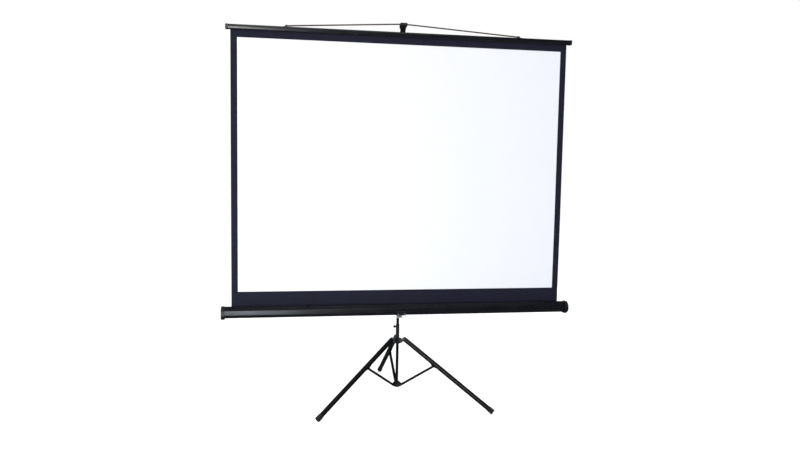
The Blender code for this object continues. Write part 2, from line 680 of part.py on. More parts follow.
def build_mast(finishes, mast):
    """The two sliding tubes and the hook that takes the bail."""
    square_tube("mast_tube", MAST_SIDE, MAST_WALL, MAST_BASE_Z, MAST_TOP_Z,
                finishes["leg_paint"], mast)
    pocket_top = BAIL_APEX_Z - 0.0195
    extension = square_tube("extension_tube", EXTENSION_SIDE, EXTENSION_WALL, EXTENSION_BASE_Z,
                            pocket_top - CLEAR, finishes["plated_steel"], mast)

    top, groove = BAIL_APEX_Z + 0.0105, BAIL_RADIUS + bail_drift() + BAIL_SEAT_MARGIN
    lip_y = HOOK_GROOVE_Y - groove
    hook = [
        (HEAD_DEPTH_BEHIND, HEAD_BASE_Z), (HEAD_DEPTH_BEHIND, top - 0.004),
        (HEAD_DEPTH_BEHIND - 0.004, top), (HOOK_GROOVE_Y + groove + 0.004, top),
        *arc(HOOK_GROOVE_Y, BAIL_APEX_Z, groove, 0, -180, 6),
        (lip_y, BAIL_APEX_Z + 0.005), (lip_y - 0.004, BAIL_APEX_Z + 0.0065),
        (-HEAD_REACH, BAIL_APEX_Z + 0.002), (-HEAD_REACH, BAIL_APEX_Z - 0.008),
        (HOOK_GROOVE_Y, BAIL_APEX_Z - 0.018), (-HEAD_DEPTH_BEHIND - 0.004, BAIL_APEX_Z - 0.034),
        (-HEAD_DEPTH_BEHIND, HEAD_BASE_Z),
    ]
    bm = prism(hook, -HEAD_WIDTH / 2, HEAD_WIDTH / 2, "X")
    flare_start, flare_end = BAIL_APEX_Z - 0.016, BAIL_APEX_Z - 0.009
    for height in (flare_start, flare_end):
        bmesh.ops.bisect_plane(bm, geom=[*bm.verts, *bm.edges, *bm.faces],
                               plane_co=(0, 0, height), plane_no=(0, 0, 1))
    for vert in bm.verts:
        if vert.co.z > flare_end - 1e-5:
            vert.co.x += math.copysign(HEAD_FLARE, vert.co.x)
    head = add("mast_head", bm, finishes["black_plastic"], mast, smooth=False)
    pocket = tool("head_pocket", prism(square(EXTENSION_SIDE + 2 * CLEAR), HEAD_BASE_Z - 0.01,
                                       pocket_top), mast)
    pin_z = HEAD_BASE_Z + 0.014
    hole = tool("head_pin_hole", rod(PIN_RADIUS + CLEAR, -0.02, 0.02, PIN_SIDES, "X"), mast,
                (0, 0, pin_z))
    shape(head, pocket, hole)
    shape(extension, hole)
    pin = pivot_pin("head_pin", HEAD_WIDTH / 2, finishes["plated_steel"], mast, (0, 0, pin_z))
    pin.rotation_euler = (0, 0, math.pi / 2)


def build_hanger(finishes, mast):
    """The arm on the mast and the plate whose bolt the case swivels on."""
    base, top = HANGER_BASE_Z, HANGER_BASE_Z + HANGER_HEIGHT
    front = PLATE_BACK_Y + CLEAR
    rear = MAST_SIDE / 2 + CLEAR + CLAMP_WALL
    arm = [
        (rear, base), (rear, top), (-rear, top), (front, top - 0.020), (front, base + 0.006),
        (front + 0.010, base),
    ]
    block = add("hanger_arm", prism(arm, -HANGER_WIDTH / 2, HANGER_WIDTH / 2, "X"),
                finishes["black_plastic"], mast, smooth=False)
    shape(block, tool("hanger_bore", prism(square(MAST_SIDE + 2 * CLEAR), base - 0.01,
                                           top + 0.01), mast))

    foot = CASE_CENTRE_Z - PLATE_DROP
    lip = PLATE_FRONT_Y - PLATE_LIP
    strap = [
        (PLATE_BACK_Y, foot), (PLATE_BACK_Y, top - 0.024), (PLATE_FRONT_Y, top - 0.024),
        (PLATE_FRONT_Y, foot + PLATE_THICKNESS), (lip, foot + PLATE_THICKNESS), (lip, foot),
    ]
    plate = add("hanger_plate", prism(strap, -PLATE_WIDTH / 2, PLATE_WIDTH / 2, "X"),
                finishes["plated_steel"], mast, smooth=False)
    hole = tool("swivel_hole", rod(SWIVEL_RADIUS + CLEAR, -0.02, 0.02, SIDES, "Y"), mast,
                (0, PLATE_FRONT_Y, CASE_CENTRE_Z))
    shape(plate, hole)

    # The bolt runs forward from its head behind the plate into the nut inside the case
    inner_wall = CASE_Y + CASE_FLATS / 2 - CASE_WALL
    nut_back = inner_wall - CLEAR
    nut_front = nut_back - NUT_THICKNESS
    head = PLATE_BACK_Y + CLEAR
    add("swivel_bolt", turned([
        (0, head + SWIVEL_HEAD), (0.0045, head + SWIVEL_HEAD), (0.0055, head + SWIVEL_HEAD - 0.001),
        (0.0055, head), (SWIVEL_RADIUS, head), (SWIVEL_RADIUS, nut_front - 0.001),
        (0, nut_front - 0.001),
    ], SIDES, "Y"), finishes["plated_steel"], mast, location=(0, 0, CASE_CENTRE_Z))
    add("swivel_nut", turned([
        (SWIVEL_RADIUS + CLEAR, nut_front), (0.0055, nut_front), (0.0055, nut_back),
        (SWIVEL_RADIUS + CLEAR, nut_back),
    ], 6 * 2, "Y", ring=True), finishes["plated_steel"], mast, location=(0, 0, CASE_CENTRE_Z))
    return hole


def case_outline():
    """The case's section: an octagonal wall open along its top, with a hem at each edge."""
    half, inner = CASE_FLATS / 2, CASE_FLATS / 2 - CASE_WALL
    rear = FABRIC_SETBACK + SLOT_WIDTH / 2
    front = FABRIC_SETBACK - SLOT_WIDTH / 2
    outside = octagon_corners(CASE_FLATS, CASE_CORNER, 2)
    inside = octagon_corners(CASE_FLATS - 2 * CASE_WALL, CASE_CORNER - CASE_WALL, 2)
    return [
        (rear, half), *outside, (front, half),
        (front, half - SLOT_HEM), (front - CASE_WALL, half - SLOT_HEM), (front - CASE_WALL, inner),
        *reversed(inside),
        (rear + CASE_WALL, inner), (rear + CASE_WALL, half - SLOT_HEM), (rear, half - SLOT_HEM),
    ]


def build_case(finishes, case, swivel_hole):
    """The slotted shell, the saddle that the swivel bolt holds, and both end caps."""
    shell_half = CASE_HALF - CAP_PLATE - CLEAR
    shell = add("case_shell", prism(case_outline(), -shell_half, shell_half, "X"),
                finishes["case_paint"], case)
    shape(shell, swivel_hole)

    inner = CASE_FLATS + 2 * CLEAR
    outer = inner + 2 * SADDLE_THICKNESS
    wrap = range(2, 6)
    band = [
        (outer / 2, SADDLE_BACK), *octagon_corners(outer, CASE_CORNER + SADDLE_THICKNESS, 2, wrap),
        (-outer / 2, -SADDLE_FRONT), (-inner / 2, -SADDLE_FRONT),
        *reversed(octagon_corners(inner, CASE_CORNER, 2, wrap)), (inner / 2, SADDLE_BACK),
    ]
    saddle = add("case_saddle", prism(band, -SADDLE_WIDTH / 2, SADDLE_WIDTH / 2, "X"),
                 finishes["black_plastic"], case)
    shape(saddle, swivel_hole)

    for label, way in (("left", -1), ("right", 1)):
        build_end_cap(label, way, finishes, case)


def build_end_cap(label, way, finishes, case):
    """A moulded cap: an octagonal cup over the shell's end with a boss for the roller."""
    outside = [(a, b - CAP_DROP) for a, b in octagon_corners(CAP_FLATS, CAP_CORNER, 3)]
    bm = prism(outside, way * (CASE_HALF - CAP_LENGTH), way * CASE_HALF, "X")
    rim = [e for e in bm.edges if all(abs(v.co.x) > CASE_HALF - 1e-5 for v in e.verts)]
    bmesh.ops.bevel(bm, geom=rim, offset=CAP_EDGE, segments=2, profile=0.5, affect="EDGES")
    cap = add("end_cap_" + label, bm, finishes["black_plastic"], case)

    pocket = tool("cap_pocket_" + label, prism(
        octagon_corners(CASE_FLATS + 2 * CLEAR, CASE_CORNER, 2),
        way * (CASE_HALF - CAP_LENGTH - 0.01), way * (CASE_HALF - CAP_PLATE), "X"), case)
    shape(cap, pocket)
    axis = (0, ROLLER_Y - CASE_Y, 0)
    boss = tool("cap_boss_" + label, rod(BOSS_RADIUS, way * BOSS_FACE_X,
                                         way * (CASE_HALF - CAP_PLATE / 2), SIDES, "X"), case, axis)
    shape(cap, boss, operation="UNION")
    radius = GUDGEON_RADIUS + CLEAR + (BUSH_WALL + CLEAR if way > 0 else 0)
    bore = tool("cap_bore_" + label, rod(radius, way * (BOSS_FACE_X - 0.01),
                                         way * (BOSS_FACE_X + BOSS_LENGTH), SIDES, "X"), case, axis)
    shape(cap, bore)


def build_roller(finishes, case):
    """Roller tube, end plugs, bush, wound fabric, and the spring on its fixed rod."""
    axis = pivot("roller_axis", case, (0, ROLLER_Y - CASE_Y, 0))
    inner = ROLLER_RADIUS - ROLLER_WALL
    tube_half = ROLLER_END_X - PLUG_FLANGE - CLEAR
    add("roller_tube", pipe(ROLLER_RADIUS, inner, -tube_half, tube_half, SIDES, "X"),
        finishes["plated_steel"], axis)
    add("fabric_roll", pipe(WRAP_RADIUS, ROLLER_RADIUS + CLEAR, -FABRIC_WIDTH / 2,
                            FABRIC_WIDTH / 2, SIDES, "X"), finishes["screen_fabric"], axis)

    plug_end = tube_half - PLUG_DEPTH
    plug = inner - CLEAR
    add("roller_plug_right", turned([
        (0, plug_end), (plug, plug_end), (plug, ROLLER_END_X - PLUG_FLANGE),
        (ROLLER_RADIUS, ROLLER_END_X - PLUG_FLANGE), (ROLLER_RADIUS, ROLLER_END_X),
        (GUDGEON_RADIUS, ROLLER_END_X), (GUDGEON_RADIUS, BOSS_FACE_X + 0.0075),
        (0, BOSS_FACE_X + 0.0075),
    ], SIDES, "X"), finishes["grey_plastic"], axis)
    hole = GUDGEON_RADIUS + CLEAR
    add("roller_plug_left", turned([
        (hole, -ROLLER_END_X), (ROLLER_RADIUS, -ROLLER_END_X),
        (ROLLER_RADIUS, -ROLLER_END_X + PLUG_FLANGE), (plug, -ROLLER_END_X + PLUG_FLANGE),
        (plug, -plug_end), (hole, -plug_end),
    ], SIDES, "X", ring=True), finishes["grey_plastic"], axis)
    add("roller_bush", pipe(hole + BUSH_WALL, hole, BOSS_FACE_X + CLEAR,
                            BOSS_FACE_X + BOSS_LENGTH - CLEAR, SIDES, "X"),
        finishes["grey_plastic"], axis)

    # The rod is held in the left cap and its collar anchors the spring's inner end
    rod_start = -(BOSS_FACE_X + BOSS_LENGTH - CLEAR)
    rod_end = rod_start + SPRING_ROD_LENGTH
    add("spring_rod", turned([
        (0, rod_start), (GUDGEON_RADIUS, rod_start), (GUDGEON_RADIUS, rod_end - 0.004),
        (SPRING_RADIUS + SPRING_WIRE, rod_end - 0.004), (SPRING_RADIUS + SPRING_WIRE, rod_end),
        (0, rod_end),
    ], SIDES, "X"), finishes["plated_steel"], axis)
    build_spring(-plug_end + CLEAR + SPRING_WIRE, rod_end - 0.004 - CLEAR - SPRING_WIRE,
                 finishes["plated_steel"], axis)


def build_spring(start, end, material, axis):
    """The torsion spring as a helix of wire along X."""
    steps = 8 * SPRING_TURNS
    curve = bpy.data.curves.new("roller_spring", "CURVE")
    curve.dimensions = "3D"
    curve.bevel_depth = SPRING_WIRE
    curve.bevel_resolution = 0
    curve.use_fill_caps = True
    curve.materials.append(material)
    spline = curve.splines.new("POLY")
    spline.points.add(steps)
    for step, point in enumerate(spline.points):
        angle = 2 * math.pi * SPRING_TURNS * step / steps
        point.co = (start + (end - start) * step / steps, SPRING_RADIUS * math.cos(angle),
                    SPRING_RADIUS * math.sin(angle), 1)
    spring = bpy.data.objects.new("roller_spring", curve)
    spring.parent = axis
    bpy.context.collection.objects.link(spring)


def bar_outline(swell=0.0):
    half_depth, half_height = BAR_DEPTH / 2 + swell, BAR_HEIGHT / 2 + swell
    return rectangle(-half_depth, half_depth, -half_height, half_height, BAR_CORNER + swell, 3)


def build_bar(finishes, case):
    """The grooved top bar with its end caps and the anchors of the bail."""
    bar = pivot("bar_centre", case, (0, 0, BAR_BASE_Z + BAR_HEIGHT / 2 - CASE_CENTRE_Z))
    body_half = BAR_HALF - BAR_CAP_LENGTH
    body = add("top_bar", prism(bar_outline(), -body_half, body_half, "X"),
               finishes["bar_paint"], bar)
    slit = FABRIC_THICKNESS / 2 + CLEAR
    base = -BAR_HEIGHT / 2
    groove = tool("bar_groove", prism(
        rectangle(FABRIC_SETBACK - slit, FABRIC_SETBACK + slit, base - 0.01, base + GROOVE_DEPTH),
        -BAR_HALF, BAR_HALF, "X"), bar)
    hollow = (-BAR_DEPTH / 2 + BAR_WALL, FABRIC_SETBACK - slit - 0.0015,
              base + BAR_WALL, -base - BAR_WALL)
    cavity = tool("bar_cavity", prism(rectangle(*hollow), -BAR_HALF, BAR_HALF, "X"), bar)
    shape(body, groove, cavity)

    stub = (hollow[0] + CLEAR, hollow[1] - CLEAR, hollow[2] + CLEAR, hollow[3] - CLEAR)
    for label, way in (("left", -1), ("right", 1)):
        bm = prism(bar_outline(BAR_CAP_LIP), way * (body_half + CLEAR), way * BAR_HALF, "X")
        rim = [e for e in bm.edges if all(abs(v.co.x) > BAR_HALF - 1e-5 for v in e.verts)]
        bmesh.ops.bevel(bm, geom=rim, offset=0.002, segments=2, profile=0.5, affect="EDGES")
        cap = add("bar_cap_" + label, bm, finishes["black_plastic"], bar)
        shape(cap, tool("bar_stub_" + label, prism(
            rectangle(*stub), way * (body_half - 0.012), way * (body_half + 0.004), "X"), bar),
            operation="UNION")
        build_anchor(label, way, finishes, bar)


def build_anchor(label, way, finishes, bar):
    """A clip on the bar's top whose block holds one end of the bail."""
    top = BAR_HEIGHT / 2 + CLEAR
    near = BAIL_HALF_SPAN + CLEAR
    clip = [(near, top), (near + 0.020, top), (near + 0.020, top + 0.0015),
            (near + 0.012, top + 0.0015), (near + 0.010, top + 0.0085), (near, top + 0.0085)]
    outline = [(way * a, b) for a, b in clip]
    add("bail_anchor_" + label, prism(outline, -0.005, 0.005, "Y"), finishes["black_plastic"],
        bar, smooth=False)


def bail_point(x):
    """The bail's centreline: two straight runs that bend over the hook's groove."""
    bend = math.hypot(x, BAIL_BEND) - BAIL_BEND
    share = bend / (math.hypot(BAIL_HALF_SPAN, BAIL_BEND) - BAIL_BEND)
    return (x, HOOK_GROOVE_Y + (CASE_Y - HOOK_GROOVE_Y) * share, BAIL_APEX_Z - BAIL_RISE * share)


def bail_drift():
    """How far the bail strays from its apex by the sides of the mast head."""
    step = 2 * (BAIL_HALF_SPAN - CLEAR) / (BAIL_POINTS - 1)
    _, y, z = bail_point(step)
    side = HEAD_WIDTH / 2 + HEAD_FLARE
    return math.hypot(y - HOOK_GROOVE_Y, z - BAIL_APEX_Z) * min(1, side / step)


def build_bail(finishes, mast):
    curve = bpy.data.curves.new("bail_cord", "CURVE")
    curve.dimensions = "3D"
    curve.bevel_depth = BAIL_RADIUS
    curve.bevel_resolution = 2
    curve.use_fill_caps = True
    curve.materials.append(finishes["cord"])
    spline = curve.splines.new("POLY")
    spline.points.add(BAIL_POINTS - 1)
    reach = BAIL_HALF_SPAN - CLEAR
    for step, point in enumerate(spline.points):
        point.co = (*bail_point(reach * (2 * step / (BAIL_POINTS - 1) - 1)), 1)
    cord = bpy.data.objects.new("bail_cord", curve)
    cord.parent = mast
    bpy.context.collection.objects.link(cord)


def build_fabric(finishes, case):
    """The picture sheet, from its tangent on the roller up into the bar's groove."""
    top = BAR_BASE_Z + GROOVE_DEPTH - CLEAR - CASE_CENTRE_Z
    half = FABRIC_THICKNESS / 2
    sheet = prism(rectangle(FABRIC_SETBACK - half, FABRIC_SETBACK + half, 0, top),
                  -FABRIC_WIDTH / 2, FABRIC_WIDTH / 2, "X")
    add("screen_sheet", sheet, finishes["screen_fabric"], case, smooth=False)


def main():
    clear_scene()
    finishes = make_finishes()
    mast = pivot("mast_axis", None, (0, MAST_Y, 0))
    build_column(finishes, mast)
    build_clamps(finishes, mast)
    build_collar(finishes, mast)
    build_tripod(finishes, mast)
    build_mast(finishes, mast)
    swivel_hole = build_hanger(finishes, mast)
    case = pivot("case_swivel", mast, (0, CASE_Y, CASE_CENTRE_Z))
    build_case(finishes, case, swivel_hole)
    build_roller(finishes, case)
    build_bar(finishes, case)
    build_fabric(finishes, case)
    build_bail(finishes, mast)


main()
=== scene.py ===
# %% [markdown]
# # A picture screen on a folding tripod
# The metal frame, its joints and its sizes are already made and are loaded here as a fixed
# frame. This lesson gives that frame its looks: soft moulded edges, cloth, cord, screws, paint
# and rubber. Every length is in metres, the screen faces -Y and the floor is at height zero.

# %% Load the frame
import math

import bmesh
import bpy
from mathutils import Matrix, Vector


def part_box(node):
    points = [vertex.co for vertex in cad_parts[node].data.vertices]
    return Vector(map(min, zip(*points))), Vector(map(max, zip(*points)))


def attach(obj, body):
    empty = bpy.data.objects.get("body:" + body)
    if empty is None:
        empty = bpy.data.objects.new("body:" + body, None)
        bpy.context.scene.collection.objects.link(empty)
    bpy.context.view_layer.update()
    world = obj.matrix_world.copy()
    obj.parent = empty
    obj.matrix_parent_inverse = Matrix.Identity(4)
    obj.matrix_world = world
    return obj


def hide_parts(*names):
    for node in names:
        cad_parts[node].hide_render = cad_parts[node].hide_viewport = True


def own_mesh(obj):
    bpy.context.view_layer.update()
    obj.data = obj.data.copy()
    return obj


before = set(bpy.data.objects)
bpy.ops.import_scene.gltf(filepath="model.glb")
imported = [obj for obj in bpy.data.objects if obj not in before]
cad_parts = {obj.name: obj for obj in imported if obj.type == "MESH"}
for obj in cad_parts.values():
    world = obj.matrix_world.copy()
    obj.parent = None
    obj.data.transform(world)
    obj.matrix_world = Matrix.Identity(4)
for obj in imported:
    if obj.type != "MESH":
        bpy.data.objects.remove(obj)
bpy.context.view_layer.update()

# %% Name the lines that many pieces are measured from
MAST_Y = -0.129851
CASE_Y, CASE_Z = -0.202451, 0.523
SIDES = (("left", -1), ("right", 1))
print("the case hangs", round(MAST_Y - CASE_Y, 3), "m in front of the mast")

# %% [markdown]
# ## Camera
# A camera is fixed by where it stands, where it points and how long its lens is. These numbers
# come from fitting the picture's corners, the feet and the hubs to the photograph, so the
# render lines up with it. The turns are made in order: roll, then tilt, then heading. The
# photograph is a crop, so its centre isn't where the lens pointed, and the lens is shifted.

# %% Stand the camera
CAMERA_AT = (-0.6992, -3.4258, 1.2009)
HEADING, TILT, ROLL = 0.15041, -0.07952, 0.01252
FOCAL_PIXELS, FRAME_PIXELS, SENSOR = 624.78, 800, 36
SHIFT_ACROSS, SHIFT_UP = 0.0466, 0.0077

lens = bpy.data.cameras.new("front_view")
lens.sensor_width = SENSOR
lens.lens = SENSOR * FOCAL_PIXELS / FRAME_PIXELS
lens.shift_x, lens.shift_y = SHIFT_ACROSS, SHIFT_UP
camera = bpy.data.objects.new("front_view", lens)
camera.matrix_world = (
    Matrix.Translation(CAMERA_AT)
    @ Matrix.Rotation(-HEADING, 4, "Z")
    @ Matrix.Rotation(math.pi / 2 + TILT, 4, "X")
    @ Matrix.Rotation(ROLL, 4, "Z")
)
bpy.context.collection.objects.link(camera)
bpy.context.scene.camera = camera
bpy.context.scene.view_settings.view_transform = "Standard"
print("lens", round(lens.lens, 1), "mm")

# %% [markdown]
# ## A short way to write node trees
# Every shader here is a tree of nodes. A few small functions keep the trees readable: put adds a
# node and fills its sockets, and the others name the kinds that turn up most. A socket is filled
# with a plain value, or with another node or socket, which is then linked to it.

# %% Add nodes and fill their sockets
def srgb(red, green, blue):
    """A screen colour, 0 to 255, in linear light."""
    return [
        (c / 255 / 12.92 if c <= 10 else ((c / 255 + 0.055) / 1.055) ** 2.4)
        for c in (red, green, blue)
    ]


def fill(tree, node, inputs):
    """Give each named socket a value, or a link from a socket or from a node's first output."""
    for key, value in inputs.items():
        if isinstance(value, bpy.types.Node):
            value = value.outputs[0]
        if isinstance(value, bpy.types.NodeSocket):
            tree.links.new(value, node.inputs[key])
        else:
            node.inputs[key].default_value = value
    return node


def put(tree, kind, inputs=None, **settings):
    """Add a node; settings are its own properties, and inputs fills its sockets."""
    node = tree.nodes.new("ShaderNode" + kind)
    for key, value in settings.items():
        setattr(node, key, value)
    return fill(tree, node, inputs or {})


def maths(tree, operation, *terms, **settings):
    """An operation on one to three numbers."""
    return put(tree, "Math", dict(enumerate(terms)), operation=operation, **settings)


def ramp(tree, value, low, high, to_low=0.0, to_high=1.0):
    """Stretch low..high to to_low..to_high, and hold the ends."""
    return put(tree, "MapRange", {"Value": value, "From Min": low, "From Max": high,
                                  "To Min": to_low, "To Max": to_high}, clamp=True)


def noise(tree, where, scale, detail, rough=0.5):
    """Soft random patches, with finer ones inside them as detail grows."""
    return put(tree, "TexNoise", {"Vector": where, "Scale": scale, "Detail": detail,
                                  "Roughness": rough})


def shaded(name, constants):
    """A new material with constants on its shader, its node tree and the shader."""
    material = bpy.data.materials.new(name)
    material.use_nodes = True
    tree = material.node_tree
    return material, tree, fill(tree, tree.nodes["Principled BSDF"], constants)


# %% [markdown]
# ## Floor and light
# A studio is a pale floor, a large soft light overhead and weaker ones to the sides. The tall
# panel behind the camera matters most here: satin paint shows it as the pale stripe on the left
# half of the bar and the case. The room and the floor are white to the camera and to matt
# surfaces but dim to mirror-like rays, so that black paint keeps a black look in a white room.
# The floor also glows a little, which lifts it to white up to the horizon and leaves only the
# soft shadows near the feet.

# %% Lay the floor
def glow(tree, kind, colour, strength):
    """A Background or Emission node."""
    return put(tree, kind, {"Color": (*colour, 1), "Strength": strength})


def chosen(tree, share, without, with_it):
    """One shader or the other, by a ray's kind."""
    return put(tree, "MixShader", {0: share, 1: without, 2: with_it})


FLOOR_SIDE = 60
floor_mesh = bmesh.new()
bmesh.ops.create_grid(floor_mesh, x_segments=1, y_segments=1, size=FLOOR_SIDE / 2)
floor_data = bpy.data.meshes.new("studio_floor")
floor_mesh.to_mesh(floor_data)
floor_mesh.free()
floor_paint, tree, pale = shaded("floor_paint", {
    "Base Color": (0.95, 0.95, 0.94, 1), "Roughness": 0.9, "Specular IOR Level": 0.1,
    "Emission Color": (1, 1, 1, 1), "Emission Strength": 0.50})
mirrored = put(tree, "LightPath").outputs["Is Glossy Ray"]
dim = glow(tree, "Emission", (0.9, 0.95, 1.0), 0.07)
fill(tree, tree.nodes["Material Output"], {"Surface": chosen(tree, mirrored, pale, dim)})
floor_data.materials.append(floor_paint)
floor = bpy.data.objects.new("studio_floor", floor_data)
bpy.context.collection.objects.link(floor)
print("floor", FLOOR_SIDE, "m wide")

# %% Hang the lights
def panel(name, at, towards, width, height, watts, tint=(1, 1, 1)):
    """A lamp of width by height metres that shines from a point towards another."""
    light = bpy.data.lights.new(name, "AREA")
    light.shape = "RECTANGLE"
    light.size, light.size_y = width, height
    light.energy = watts
    light.color = tint
    lamp = bpy.data.objects.new(name, light)
    aim = Vector(towards) - Vector(at)
    lamp.matrix_world = Matrix.Translation(at) @ aim.to_track_quat("-Z", "Y").to_matrix().to_4x4()
    lamp.visible_camera = False
    bpy.context.collection.objects.link(lamp)
    return lamp


panel("overhead", (0.1, -3.9, 4.6), (0, 0, 1.0), 2.8, 1.8, 36)
panel("behind_camera", (-1.45, -5.4, 1.6), (-0.7, 0, 1.2), 1.2, 3.2, 114, (1.0, 0.99, 0.98))
panel("left_key", (-2.6, -3.0, 2.0), (-0.4, 0, 1.2), 1.2, 2.0, 46)
panel("low_strip", (-1.02, -1.6, 0.24), (-1.02, 0, 0.40), 0.95, 0.30, 6.2, (0.80, 0.88, 1.0))
# The tinted lamp on the right only cools the matt surfaces, so it stays out of mirror-like rays.
tinted = panel("right_fill", (3.4, -2.6, 1.6), (0.5, 0, 1.1), 1.2, 2.6, 34, (0.22, 0.42, 1.0))
tinted.visible_glossy = False
panel("rear_fill", (1.5, 4.0, 2.6), (0, 0, 0.8), 3.0, 2.2, 30)

# %% Light the room
room = bpy.data.worlds.new("studio_room")
room.use_nodes = True
tree = room.node_tree
tree.nodes.clear()
ray = put(tree, "LightPath").outputs
mirrored = glow(tree, "Background", (0.80, 0.86, 1.0), 0.055)
scattered = glow(tree, "Background", (0.98, 0.99, 1.0), 0.60)
seen = glow(tree, "Background", (1, 1, 1), 1.0)
light = chosen(tree, ray["Is Diffuse Ray"], mirrored, scattered)
put(tree, "OutputWorld", {0: chosen(tree, ray["Is Camera Ray"], light, seen)})
bpy.context.scene.world = room
print("room has", len(tree.nodes), "nodes")

# %% [markdown]
# ## Effects that several finishes share
# Grain, worn edges, scuffs, dust and thread patterns turn up on many materials, so each is a
# node group that is built once and then placed with other numbers. A group hands back only
# values that change over the surface. The shader itself stays in the material.

# %% Start an effect
def effect(name, wants, gives):
    """A node group: wants is {input: default}, None for a vector; gives is a list of names."""
    group = bpy.data.node_groups.new(name, "ShaderNodeTree")
    for label, value in wants.items():
        kind = "NodeSocketVector" if value is None else "NodeSocketFloat"
        socket = group.interface.new_socket(label, in_out="INPUT", socket_type=kind)
        if value is not None:
            socket.default_value = value
    for label in gives:
        group.interface.new_socket(label, in_out="OUTPUT", socket_type="NodeSocketFloat")
    given = group.nodes.new("NodeGroupInput").outputs
    return group, given, group.nodes.new("NodeGroupOutput")


# %% Grain: a fine height for the bump and a broad tone for the colour
grain, given, result = effect("grain", {"Vector": None, "Scale": 400.0}, ["Height", "Tone"])
fine = noise(grain, given["Vector"], given["Scale"], 3.0, 0.6)
coarse = maths(grain, "MULTIPLY", given["Scale"], 0.02)
broad = noise(grain, given["Vector"], coarse, 2.0)
fill(grain, result, {"Height": fine, "Tone": broad})
print("grain has", len(grain.nodes), "nodes")

# %% Edge wear: bright where a rounded normal leaves the real one, broken up by noise
wear, given, result = effect(
    "edge_wear", {"Vector": None, "Radius": 0.001, "Scale": 90.0, "Amount": 0.5}, ["Mask"]
)
rounded = put(wear, "Bevel", {"Radius": given["Radius"]}, samples=4)
real = put(wear, "NewGeometry").outputs["Normal"]
match = put(wear, "VectorMath", {0: rounded, 1: real}, operation="DOT_PRODUCT")
edge = ramp(wear, match.outputs["Value"], 0.985, 0.90)
chips = ramp(wear, noise(wear, given["Vector"], given["Scale"], 4.0, 0.65), 0.50, 0.64)
both = maths(wear, "MULTIPLY", edge, chips)
fill(wear, result, {"Mask": maths(wear, "MULTIPLY", both, given["Amount"])})
print("edge wear has", len(wear.nodes), "nodes")

# %% Scuffs: thin marks drawn out along one direction
scuffs, given, result = effect(
    "scuffs", {"Vector": None, "Scale": 30.0, "Stretch": 14.0, "Amount": 0.4}, ["Mask"]
)
drawn = put(scuffs, "CombineXYZ", {"X": 1.0, "Y": 1.0, "Z": given["Stretch"]})
longer = put(scuffs, "VectorMath", {0: given["Vector"], 1: drawn}, operation="MULTIPLY")
thin = ramp(scuffs, noise(scuffs, longer, given["Scale"], 5.0, 0.7), 0.60, 0.72)
fill(scuffs, result, {"Mask": maths(scuffs, "MULTIPLY", thin, given["Amount"])})
print("scuffs has", len(scuffs.nodes), "nodes")

# %% Dust: settles on what faces up, in soft patches
dust, given, result = effect("dust", {"Vector": None, "Scale": 12.0, "Amount": 0.3}, ["Mask"])
real = put(dust, "NewGeometry").outputs["Normal"]
level = ramp(dust, put(dust, "SeparateXYZ", {0: real}).outputs["Z"], 0.35, 1.0)
patches = noise(dust, given["Vector"], given["Scale"], 5.0, 0.6)
both = maths(dust, "MULTIPLY", level, patches)
fill(dust, result, {"Mask": maths(dust, "MULTIPLY", both, given["Amount"])})
print("dust has", len(dust.nodes), "nodes")

# %% Threads: two sets of parallel waves, straight for cloth or slanted for a braid
threads, given, result = effect(
    "threads", {"Vector": None, "Across": 1.0, "Slant": 0.0}, ["Height", "Tone"]
)
parts = put(threads, "SeparateXYZ", {0: given["Vector"]}).outputs
waves = []
for sign, first, second in ((1, "X", "Y"), (-1, "Y", "X")):
    lean = maths(threads, "MULTIPLY", given["Slant"], sign)
    side = maths(threads, "MULTIPLY_ADD", parts[second], lean, parts[first])
    turns = maths(threads, "MULTIPLY", side, given["Across"])
    waves.append(maths(threads, "SINE", turns))
lift = ramp(threads, maths(threads, "MULTIPLY", *waves), -1.0, 1.0)
mottle = noise(threads, given["Vector"], 3.0, 3.0)
fill(threads, result, {"Height": lift, "Tone": mottle})
print("threads has", len(threads.nodes), "nodes")

# %% [markdown]
# ## Finishes
# Each finish is one material: a base colour that drifts a little, a grain in the bump, edges
# rubbed to another colour and some dust. One recipe covers paint, moulded plastic, rubber and
# plated steel, because on all of them the same four things happen at different strengths.

# %% A recipe for hard finishes
DUST_COLOUR = (0.30, 0.31, 0.32)


def mixed(tree, mask, below, above):
    """Colour below where mask is 0 and above where it is 1; below is a colour or a socket."""
    if not isinstance(below, bpy.types.NodeSocket):
        below = (*below, 1)
    return put(tree, "Mix", {0: mask, 6: below, 7: (*above, 1)}, data_type="RGBA").outputs[2]


